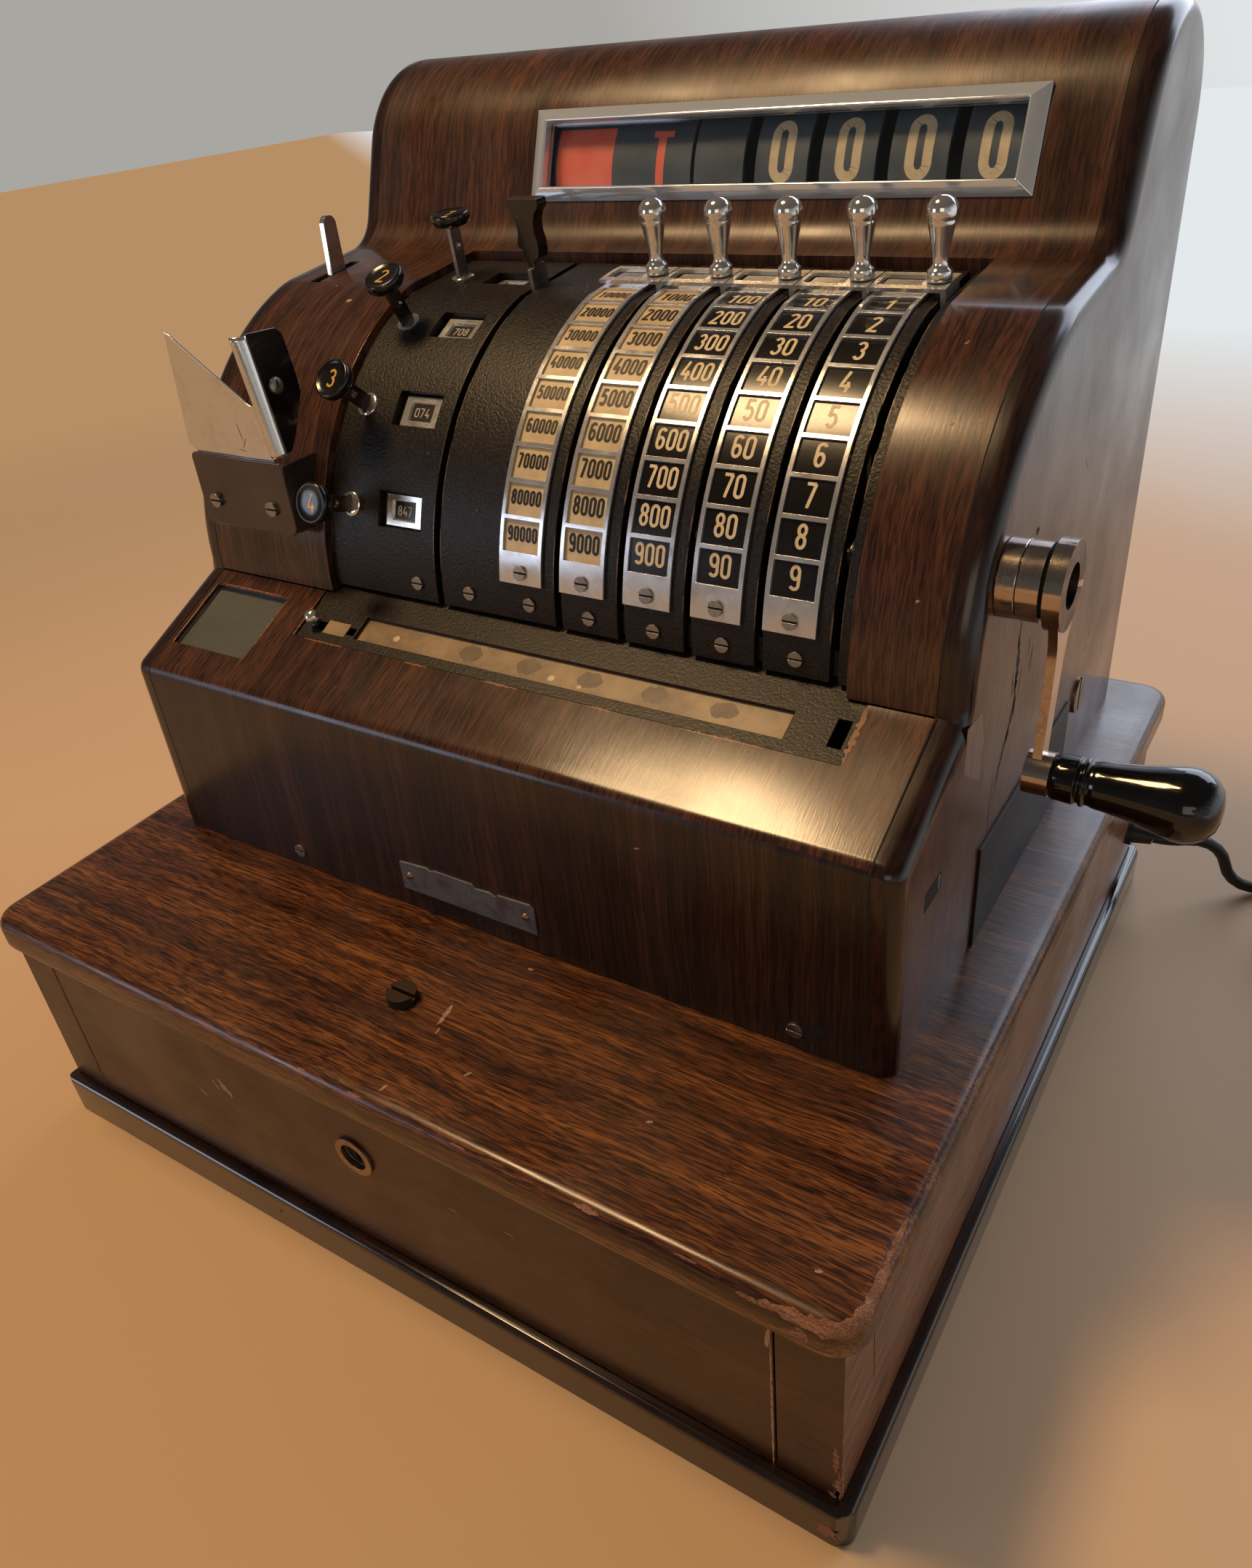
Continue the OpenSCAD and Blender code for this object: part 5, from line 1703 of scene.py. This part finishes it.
@dataclass
class ReceiptGuard:
    """Chrome receipt guard with a V notch and a bent lip, its black flank, and its brown bracket."""

    y: float = FORM.axis[0] - FORM.radius - 4.4
    left: float = -184.0
    right: float = -121.0
    foot: float = 295.0
    head: float = 331.0
    top: float = 386.0
    notch: float = -131.5
    lip: float = 4.6
    lean: float = 9.3
    gauge: float = 0.9

    def fold(self, z: Array) -> Array:
        """X of the folded edge at height z: it moves out by tan(lean) per millimetre on its way down."""
        return self.notch + (self.top - z) * math.tan(math.radians(self.lean))

    def front(self) -> None:
        """The front sheet, then the bend as a quarter circle of radius lip swept down the fold."""
        z = np.linspace(self.top, self.head + 1.5, 30)
        a = np.radians(np.linspace(0, 90, 9))
        rows = np.stack(
            [
                self.fold(z)[:, None] - self.lip * (1 - np.sin(a))[None],
                np.broadcast_to(self.y + self.lip * (1 - np.cos(a)), (len(z), len(a))),
                np.broadcast_to(z[:, None], (len(z), len(a))),
            ],
            axis=-1,
        )
        bend = build("guard_bend", sheet(rows), CHROME, angle=60, tidy=False)
        thick = bend.modifiers.new("sheet", "SOLIDIFY")
        thick.thickness, thick.offset = self.gauge * MM, -1.0
        low = self.fold(self.head + 1.5) - self.lip
        root = self.fold(self.top - 29) - self.lip
        v = np.array([[-7.6, 27.0], [-4.2, 29.4], [-2.2, 30.0], [-0.6, 29.2], [0.0, 27.4]])
        outline = np.vstack(
            [
                [
                    [self.left + 3, self.foot + 4], [self.left + 3, self.head + 0.4],
                    [self.left - 1.5, self.head + 3]
                ],
                [
                    [self.left + 3, self.top + 0.5], [self.left + 6, self.top - 0.6],
                    [self.left + 12, self.top - 5]
                ],
                np.column_stack([root + v[:, 0], self.top - v[:, 1]]),
                [[low, self.head + 1.5], [low, self.foot + 4]],
            ]
        )
        flat = np.column_stack([outline[:, 0], np.full(len(outline), self.y), outline[:, 1]])
        back = flat + np.array([0, self.gauge, 0])
        piece = build("guard_front", slab(flat, back), CHROME, bevel=0.2)
        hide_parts("receipt_guard")

    def flank(self) -> None:
        """The black flank: a flat outline in (depth, distance up the fold), with its corners rounded."""
        corner = arc((20.5, 48.2), 5.6, 70, 5, 8)
        outline = np.vstack(
            [
                [[self.lip - 0.3, 0.5], [self.lip - 0.3, 54.6]], corner,
                [[26.3, 30], [25.6, 24], [14.5, 7.5], [9, 1.0]]
            ]
        )
        c = math.radians(self.lean)
        down = 54 - outline[:, 1]
        x = self.notch + down * math.sin(c) - 0.35
        z = self.top - down * math.cos(c)
        outer = np.column_stack([x, self.y + outline[:, 0], z])
        inner = outer - np.array([self.gauge, 0, 0])
        build("guard_flank", slab(outer, inner), ENAMEL, bevel=0.25)
        at = np.array([self.notch + 24 * math.sin(c) - 0.4, self.y + 12.5, self.top - 24 * math.cos(c)])
        axis = (math.cos(c), 0, math.sin(c))
        head = lathe(np.array([(0, 0), (3.9, 0), (3.9, 0.5), (3.2, 1.1), (1.6, 1.4), (0, 1.5)]), at, axis, 32)
        build("guard_screw", head, STEEL, angle=50)
        # Painted shade: a near-black strip across the head stands for its slot
        cut = side_plane(float(at[0]) + 1.45)
        build(
            "guard_screw_slot_shade",
            quad(lambda u, v, w: cut(at[1] + u, at[2] + v, w), -0.45, 0.45, -3.2, 3.2, 0.1), DARK_GAP_AND_SLOT_SHADE, tidy=False
        )

    def bracket(self) -> None:
        """Front plate with rounded corners, and a thin flank at each end that runs back to the wood."""
        x0, x1, z0, z1 = self.left, self.right, self.foot, self.head
        r = (5.5, 5.5, 3.0, 3.0)
        corners = [
            ((x1 - r[0], z0 + r[0]), r[0], -90, 0), ((x1 - r[2], z1 - r[2]), r[2], 0, 90),
            ((x0 + r[3], z1 - r[3]), r[3], 90, 180), ((x0 + r[1], z0 + r[1]), r[1], 180, 270)
        ]
        ring = np.vstack([arc(c, rad, a0, a1, 6) for c, rad, a0, a1 in corners])
        n = len(ring)
        y = self.y - 2
        loops = [np.column_stack([ring[:, 0], np.full(n, v), ring[:, 1]]) for v in (y, y + 2)]
        plate = build("bracket_plate", loft(np.array(loops)), BRACKET, bevel=0.7, steps=3)
        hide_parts("guard_bracket")
        ends = (z0 + 1.5, z1 - 1.5)
        t0, t1 = (math.degrees(math.asin((z - FORM.axis[1]) / (FORM.radius + 0.05))) for z in ends)
        wood = FORM.key_path(0.05, t0, t1, 8)
        outline = np.vstack([wood, [[y + 1.9, z] for z in ends[::-1]]])
        shapes = [prism(outline, x0 + 0.4, x0 + 2.2), prism(outline, x1 - 2.2, x1 - 0.4)]
        build("bracket_flanks", join(shapes), BRACKET, bevel=0.3)

    def build(self) -> None:
        """Builds guard and bracket."""
        self.front()
        self.flank()
        self.bracket()
        marks = plane((0, self.y, 0), 90)
        scratch = [
            sliver(marks, -146, 343, 9, 0.35, 100, 3, lift=0.04),
            sliver(marks, -144.5, 338, 6, 0.3, 60, 4, lift=0.04),
            sliver(marks, -147, 334.5, 5, 0.3, 170, 5, lift=0.04)
        ]
        build("guard_scratches", join(scratch), DARK_GAP_AND_SLOT_SHADE, tidy=False)


@dataclass
class SlopeFittings:
    """What sits on the front slope: pane, sliding knob, enamelled plate and its brass strip."""

    length: float = 67.37

    def build(self) -> None:
        """Builds the fittings and their marks."""
        place = plane((0, FORM.front_y, FORM.ridge_z), FORM.slope()[1])
        top = self.length
        refined("detail_plate", SLOPE, 0.35)
        refined("detail_strip", STRIP, 0.1)
        knob = refined("slider_knob", CHROME, 0.1)
        mid = place(np.array(-110.0), np.array(top - 19.4), 0.0)
        out = place(np.array(-110.0), np.array(top - 19.4), 1.0) - mid
        paint(knob, BAKELITE, lambda c, n: (c - mid) @ out < 1.9)
        build("pane_card", quad(place, -189, -138, top - 48.9, top - 9.9, -4.2), PANE_CARD, tidy=False)
        build("slider_slot_plate", quad(place, -104, -90, top - 23.4, top - 15.6, -0.93), STRIP, tidy=False)
        # Painted shade: near-black lines along the slot's long edge and its end
        lines = slivers(
            place,
            [(-97, top - 15.4, 15, 0.8, 0, 1, 0.2, -0.9), (-89.8, top - 19.4, 8, 0.7, 90, 2, 0.2, -0.9)]
        )
        build("slider_slot_edge_shade", join(lines), DARK_GAP_AND_SLOT_SHADE, tidy=False)
        dark = [
            sliver(place, FORM.strip_x(k) - 9, top - 15.2, 12.5, 8.5, 4, k, 0.18, -3.0) for k in range(1, 6)
        ]
        build(
            "strip_stains", join(dark),
            Plain("brass_stain", colour="#4f4031", second="#66543f", rough=0.4, patch=6), tidy=False
        )
        dots = slivers(
            place,
            [
                (28.3, top - 18.4, 3.4, 3.0, 0, 7, 0.1, -2.96),
                (43.5, top - 19.6, 2.4, 1.9, 0, 8, 0.3, -2.96), (-62, top - 16.5, 3.6, 3.2, 0, 9, 0.1, -2.96)
            ]
        )
        build("strip_paint_dots", join(dots), CREAM, tidy=False)
        build("plate_skirt", quad(place, -118.8, 166.8, top - 6, top + 7.6, -0.95), SLOPE, tidy=False)
        edge = slivers(
            place, [(166.9, top - 15, 26, 2.2, 90, 11, 0.6), (-118.8, top - 17, 22, 1.0, 90, 12, 0.6)]
        )
        rubs = enumerate(((-98, 26), (-40, 14), (8, 20), (60, 12), (118, 40)), start=13)
        edge += [sliver(place, x, top - 29.4, w, 0.9, 0, i, 0.6) for i, (x, w) in rubs]
        edge += slivers(
            place, [(-163, top - 8.9, 46, 1.0, 0, 21, 0.6), (-137.2, top - 26, 30, 0.8, 90, 22, 0.6)]
        )
        build("rubbed_cut_edges", join(edge), RUBBED, tidy=False)


@dataclass
class Crank:
    """Boss, hollow-hubbed arm and ebonite handle."""

    y: float = -35.4
    z: float = 311.3
    hub_x: float = 222.3
    seam_r: float = 12.9
    neck_r: float = 8.5

    def build(self) -> None:
        """Builds the crank; its neck and the two seams stay dark."""
        refined("crank_boss", WARM_CHROME, 0.5, steps=3)
        arm = refined("crank_arm", WARM_CHROME, 0.7, steps=3)

        def reach(c: Array) -> Array:
            """Distance from the crank's axis."""
            return np.hypot(c[:, 1] - self.y, c[:, 2] - self.z)

        paint(
            arm, DARK_GAP_AND_SLOT_SHADE,
            lambda c, n: (np.abs(reach(c) - self.seam_r) < 0.25)
            & (c[:, 0] > self.hub_x - 2.2) & (c[:, 0] < self.hub_x + 0.1)
        )
        paint(arm, BLADE, lambda c, n: (reach(c) < self.neck_r) & (c[:, 0] > self.hub_x - 4.2))
        refined("crank_handle", EBONITE, 0.2, angle=40)


@dataclass
class BaseBox:
    """Top board, sides, plinth, drawer and its lock."""

    half: tuple[float, float] = (235.0, 232.0)
    corner: float = 14.0
    edge: float = 6.0
    lock_z: float = 85.0

    def on_edge(self, u: Array, v: Array, lift: float) -> Array:
        """Maps (u, v, lift) to the board's rounded top edge: u along it from the front right corner.

        Args:
            u: along the edge.
            v: across it.
            lift: outwards from it.

        Returns:
            Points (x, y, z).
        """
        reach = self.corner * math.pi / 4
        inside = np.clip(u, -reach, reach)
        turn = -math.pi / 4 + inside / self.corner
        rise = math.pi / 4 + v / self.edge
        radius = self.corner - self.edge + (self.edge + lift) * np.cos(rise)
        rest = u - inside
        x = self.half[0] - self.corner + radius * np.cos(turn) + np.minimum(rest, 0)
        y = -self.half[1] + self.corner + radius * np.sin(turn) + np.maximum(rest, 0)
        return np.stack(
            np.broadcast_arrays(x, y, FORM.deck - self.edge + (self.edge + lift) * np.sin(rise)), axis=-1
        )

    def board(self) -> None:
        """A slab with rounded corners; loops step in by r (1 - cos a) as they climb r sin a."""
        a = np.radians(np.linspace(0, 90, 7))
        low, high, r = FORM.deck - 20, FORM.deck, self.edge
        levels = [(r * (1 - math.sin(t)), low + r * (1 - math.cos(t))) for t in a]
        levels += [(r * (1 - math.cos(t)), high - r + r * math.sin(t)) for t in a]
        rows = []
        corners = ((1, -1, -90), (1, 1, 0), (-1, 1, 90), (-1, -1, 180))
        for inset, z in levels:
            c = self.corner - inset
            w, d = self.half[0] - self.corner, self.half[1] - self.corner
            ring = np.vstack([arc((sx * w, sy * d), c, s, s + 90, 8) for sx, sy, s in corners])
            rows.append(np.column_stack([ring, np.full(len(ring), z)]))
        piece = build("top_board_rounded", loft(np.array(rows)), TOP, angle=50)
        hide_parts("base_top_board")

    def build(self) -> None:
        """Builds the base."""
        self.board()
        for side in ("left", "right"):
            # The sides' lighter walnut is painted daylight; their front faces keep the front veneer.
            piece = refined(f"base_side_{side}", SIDE_WITH_PAINTED_DAYLIGHT, 0.8)
            paint(piece, FRONT, lambda c, n: n[:, 1] < -0.8)
        refined("base_back", FRONT, 0.5)
        refined("base_floor", BEECH, 0.5)
        refined("plinth_moulding", BLACKWOOD, 0.5, angle=40)
        refined("drawer_runners", BEECH, 0.4)
        refined("drawer_front", FRONT, 0.8)
        refined("drawer_box", BEECH, 0.5)
        refined("cash_tray", BEECH, 0.5)
        lock = refined(
            "drawer_lock",
            Metal("bronzed_lock_ring", colour="#a08a72", tarnish="#4a3a2c", rough=0.3, spots=0.6), 0.35
        )
        # Painted shade: the lock's faces inside the ring, behind its front, are drawn near-black
        paint(lock, DARK_GAP_AND_SLOT_SHADE, lambda c, n: (np.hypot(c[:, 0], c[:, 2] - self.lock_z) < 6.8) & (c[:, 1] > -227.2))


@dataclass
class Fittings:
    """Screws, plates, side lock and the small levers."""

    pear: tuple[tuple[float, float], ...] = (
        (0, 0.25), (4.3, 0.25), (4.4, 0.5), (4.4, 3.7), (4.2, 4.2), (3.4, 4.9), (2.85, 5.9), (2.65, 7.1),
        (2.8, 9.5), (3.35, 13), (4.05, 17), (4.7, 20.4),
        (4.95, 21.5), (4.85, 22.0), (4.85, 22.2), (5.15, 23.1), (5.35, 24.6), (5.3, 26.2), (4.85, 27.9),
        (3.9, 29.5), (2.3, 30.6), (1.1, 30.92), (0, 31.0),
    )
    girth: float = 1.13
    stand: float = 87.5
    foot_r: float = 5.6
    foot_h: float = 0.36
    pin_y: float = -179.1

    def handle(self, k: int) -> tuple[Array, Array]:
        """Foot and axis of a lever's handle, which stands at its own angle on the saddle.

        Args:
            k: which lever, 1 to 5.

        Returns:
            Foot and axis.
        """
        rest, stand = math.radians(FORM.rest), math.radians(self.stand)
        tip = FORM.radius - 0.15
        foot = np.array(
            [FORM.strip_x(k) + 26, FORM.axis[0] - tip * math.cos(rest), FORM.axis[1] + tip * math.sin(rest)]
        )
        return foot, np.array([0, -math.cos(stand), math.sin(stand)])

    def front_plate(self) -> None:
        """The bare front plate: a thin sheet whose top edge is chewed in steps."""
        steps = [
            (-41, 165.2), (-24, 166.5), (-22, 165.4), (-19, 166.4), (3, 166.3), (5, 164.4), (13, 165.0),
            (16, 163.6), (18, 165.2), (36, 165.9), (38, 164.0)
        ]
        outline = np.array([(-41, 149.5)] + steps + [(38, 149.5)])
        n = len(outline)
        loops = [
            np.column_stack([outline[:, 0], np.full(n, y), outline[:, 1]])
            for y in (FORM.front_y, FORM.front_y - 0.9)
        ]
        plate = build("front_tin_plate", loft(np.array(loops)), TIN, bevel=0.1)
        rivets = [
            lathe(
                np.array([(0, 0), (2.1, 0), (1.9, 0.6), (1, 1.0), (0, 1.1)]), (x, FORM.front_y - 0.9, 158),
                (0, -1, 0), 24
            )
            for x in (-36, 32.5)
        ]
        build(
            "front_plate_rivets", join(rivets),
            Metal("copper_rivets", colour="#9a7a66", tarnish="#4a3a30", rough=0.35), angle=50
        )
        outline = np.array([[-36.6, 138.02], [99.4, 138.02], [99.4, 190], [-36.6, 190]])
        build("side_tin_plate", prism(outline, FORM.cab_x, FORM.cab_x + 1.4), SIDE_TIN, bevel=0.25)
        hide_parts("blank_plates")

    def build(self) -> None:
        """Builds the small parts."""
        self.front_plate()
        screws = refined("screws", STEEL, 0.25)
        paint(screws, PIN_STEEL, lambda c, n: np.hypot(c[:, 0], c[:, 1] - self.pin_y) < 9)
        # Painted shade: the floors of the screws' slots are drawn near-black
        paint(screws, DARK_GAP_AND_SLOT_SHADE, lambda c, n: self.slot_floor(c, n))
        refined(
            "side_lock",
            Metal("dull_brass_cover", colour="#8f8468", tarnish="#4c4636", rough=0.35, spots=0.5), 0.3
        )
        lever = refined("control_lever", ENAMEL, 0.6, steps=3)
        paint(
            lever, STEEL,
            lambda c, n: np.hypot(c[:, 1] - FORM.axis[0], c[:, 2] - FORM.axis[1]) < FORM.radius + 5.6
        )
        refined("feed_lever", CHROME, 0.5, steps=3)
        for k in range(1, 6):
            node = f"amount_lever_{k}"
            saddle = refined(node, LADDER, 0.35, angle=40, steps=3)
            foot, out = self.handle(k)

            def off(c: Array) -> Array:
                """Distance from the handle's axis."""
                return np.linalg.norm(c - foot - ((c - foot) @ out)[:, None] * out, axis=1)

            shave(saddle, lambda c, n: (off(c) < self.foot_r) & ((c - foot) @ out > self.foot_h))
            paint(
                saddle, NICKEL,
                lambda c, n: np.hypot(c[:, 1] - FORM.axis[0], c[:, 2] - FORM.axis[1]) < FORM.radius + 0.2
            )
            build(
                f"pear_handle_{k}", lathe(np.array(self.pear) * (self.girth, 1.0), foot, out, 56), CHROME,
                body=frame["nodes"][node]["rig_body"], angle=60
            )
        refined("chassis", DARK_IRON, 0.2)
        refined("shafts", STEEL, 0.2)

    def slot_floor(self, c: Array, n: Array) -> Array:
        """True for the floors of the screws' slots: faces that look outwards from below a head's rim.

        Args:
            c: the faces' middles.
            n: their normals.

        Returns:
            A truth for each face.
        """
        deep = np.zeros(len(c), bool)
        for axis, at in self.heads():
            rise = (c - at) @ axis
            near = np.linalg.norm(c - at - rise[:, None] * axis, axis=1) < 1.0
            deep |= near & (np.abs(n @ axis) > 0.9) & (rise > 0.1)
        return deep

    def heads(self) -> list[tuple[Array, Array]]:
        """Axis and foot of each slotted head.

        Returns:
            Pairs of axis and foot.
        """
        made = []
        frames = [(FORM.strip_x(k) + 11.6, 11.8, 126.9) for k in range(1, 6)]
        plates = [(FORM.strip_x(k) + 14.3, 4.9, 125.4) for k in range(2, 6)]
        for x, t, r in frames + plates + [(x, 5.3, 125.4) for x in (-59, -28, 6)]:
            a = math.radians(t)
            out = np.array([0, -math.cos(a), math.sin(a)])
            made.append((out, np.array([x, FORM.axis[0], FORM.axis[1]]) + r * out))
        made += [(np.array([0.0, -1, 0]), np.array([x, FORM.front_y, 148.0])) for x in (-113, 164)]
        made += [(np.array([0.0, -1, 0]), np.array([x, -72.0, 308.0])) for x in (-173, -134)]
        made.append((np.array([0.0, 0, 1]), np.array([0.0, self.pin_y, FORM.deck])))
        return made


@dataclass
class Wear:
    """Cracks, chips and scratches that the till has picked up; a few marks are painted highlight and painted
    slot shade.
    """

    base: BaseBox
    drawer_y: float = -226.0
    stile_x: float = 229.0
    # Chips on the board's rounded top edge: the broad ones at the corner are wear, the thin ones along the
    # front also paint the edge's highlight
    edge_chips: tuple[tuple[float, float, float, float], ...] = (
        (-20, -1.5, 24, 4.2), (-6, -1.0, 22, 6.4), (6, -0.4, 22, 6.8), (19, 0.4, 22, 4.6), (38, 1.6, 22, 2.0),
        (-34, -2.6, 12, 2.0), (-101, 0.3, 11, 2.2), (-60, 0.2, 9, 0.8), (-160, 0.3, 7, 0.8),
        (-214, 0.4, 8, 1.2), (-244, 0.2, 5, 1.2), (-330, 0.2, 9, 1.0), (120, 0.5, 12, 1.2),
    )

    def wood(self) -> None:
        """Bare wood where the varnish and veneer are gone; along the board's rounded front edge the pale
        slivers are also its painted highlight.
        """
        cheek, board = side_plane(FORM.cab_x), plane((0, 0, FORM.deck), 0)
        front = plane((0, self.drawer_y, 0), 90)
        rim, case = plane((0, -self.base.half[1], 0), 90), plane((0, FORM.front_y, 0), 90)
        stile = side_plane(self.stile_x)
        edge = self.base.on_edge
        chips = [sliver(edge, *row, 0, i, 0.28, 0.09) for i, row in enumerate(self.edge_chips)]
        chips += [sliver(rim, 215, 127.8, 8.6, 7.6, 88, 31, 0.25)]
        chips += slivers(
            front,
            [
                (227.6, 34, 22, 2.6, 88, 33, 0.8), (226.6, 50, 18, 1.6, 92, 34, 0.8),
                (226.6, 26, 7, 3.6, 75, 35, 0.5)
            ]
        )
        chips += [sliver(stile, -225.2, 38, 26, 2.2, 92, 36, 0.8)]
        chips += slivers(rim, [(225.5, 9, 9, 8, 70, 37, 0.5), (-65, 12, 5, 1.6, 60, 38, 0.5)])
        build("bare_wood_chips_and_edge_highlight", join(chips), BARE_WOOD_AND_EDGE_HIGHLIGHT, tidy=False)
        drawn = slivers(
            front,
            [
                (-84.5, 84, 12, 3.6, -50, 41, 0.6), (-91, 83, 7, 1.4, -55, 42, 0.6),
                (-105, 71.5, 7, 1.6, -40, 43, 0.6), (55, 82, 6, 0.6, -8, 44), (85, 86, 5, 0.6, -8, 45)
            ]
        )
        build(
            "drawer_scars", join(drawn), SCARRED, body=frame["nodes"]["drawer_front"]["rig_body"], tidy=False
        )
        pale = slivers(
            board,
            [
                (23.2, -178.2, 13, 1.8, 98, 46, 0.6), (26.5, -187, 4, 0.8, 100, 47),
                (53.4, -200.4, 4, 1.0, 60, 48), (131.6, -186.8, 3, 1.2, 30, 49),
                (39.7, -137.6, 3, 1.2, 10, 50), (27.3, -222.4, 4, 1.2, 80, 51), (214, -214, 3, 1.2, 30, 52)
            ]
        )
        pale += [
            sliver(cheek, 73, 318, 8, 0.8, -50, 53), sliver(cheek, 124, 208, 5, 2.0, 80, 54),
            sliver(cheek, 128, 214, 4, 1.4, 60, 55), sliver(case, 96, 216, 3, 0.8, 20, 56)
        ]
        pale += slivers(front, [(201.3, 62, 92, 0.8, 90, 57, 0.4), (200.4, 106, 12, 2.2, 84, 58, 0.3)])
        key = on_key_surface(0.0, 50.0)
        specks = (
            (178, -6, 2.2, 1.2, 30), (188, -4, 1.8, 1.2, 10), (172, 30, 2.4, 0.8, 60),
            (-142, 38, 3.4, 2.2, 0), (-160, 50, 1.6, 0.7, 80), (181, -70, 1.6, 1.0, 50)
        )
        pale += [sliver(key, *row, int(row[0] + 400), 0.5) for row in specks]
        build("pale_scars", join(pale), SCARRED, tidy=False)

    def cracks(self) -> None:
        """Open cracks and dark stains, slivers strung along the grain, and a near-black oblong painted as the
        shade in the catch's slot.
        """
        cheek, case = side_plane(FORM.cab_x), plane((0, FORM.front_y, 0), 90)
        stile = side_plane(self.stile_x)
        line = [
            (-6.4, 276, 16, 1.4, 84), (-5.2, 262, 24, 3.6, 92), (-4.6, 247, 22, 3.0, 96),
            (-7.5, 236, 20, 3.4, 66), (-14.5, 225, 22, 2.0, 60), (-19.5, 214, 14, 1.0, 74),
            (1.0, 250, 14, 0.8, 84), (-9.6, 254, 12, 0.8, 98), (15.6, 254, 12, 0.9, 80),
            (10, 262, 9, 0.6, 86), (-26, 204, 30, 0.5, 84)
        ]
        shapes = [sliver(cheek, y, z, a, b, t, i, 0.6) for i, (y, z, a, b, t) in enumerate(line)]
        # The quad is painted shade: the catch's slot in the cheek, drawn near-black.
        shapes += [sliver(cheek, 3.3, 314, 3, 5.0, 90, 20, 0.4), quad(cheek, -102, -84.5, 204, 213, 0.05)]
        shapes += slivers(case, [(173, 152, 13, 3.0, -12, 21, 0.7), (171, 147.5, 6, 4.0, 0, 22, 0.5)])
        shapes += [sliver(stile, -199, 86, 58, 0.5, 94, 23, 0.4)]
        build("cracks_stains_and_slot_shade", join(shapes), DARK_GAP_AND_SLOT_SHADE, tidy=False)
        patch = Shape(
            cheek(np.array([-66, -49, -43.5, -46, -66]), np.array([264, 262, 246, 230, 244]), 0.04),
            [[4, 3, 2, 1, 0]]
        )
        build(
            "veneer_patch", patch,
            Veneer(
                "repaired_veneer_patch", grain=Grain.ALONG_Z, dark="#4a2e20", body="#6b4633", light="#86604a",
                streak=3.0
            ),
            tidy=False
        )
        rust = [sliver(side_plane(205.02), -86.5, 208.5, 8, 2.2, 90, 25, 0.3, 0.08)]
        build("slot_catch", join(rust), STEEL, tidy=False)

    def build(self) -> None:
        """Adds all the wear."""
        self.wood()
        self.cracks()


def main() -> None:
    """Builds the till, sub-assembly by sub-assembly."""
    logging.basicConfig(level=logging.INFO, format="%(name)s: %(message)s")
    Studio().build()
    MainsCord().build()
    Cabinet().build()
    Keyboard().build()
    ClerkKeys().build()
    FigureWindow().build()
    ReceiptGuard().build()
    SlopeFittings().build()
    Crank().build()
    base = BaseBox()
    base.build()
    Fittings().build()
    Wear(base).build()


if __name__ == "__main__":
    main()
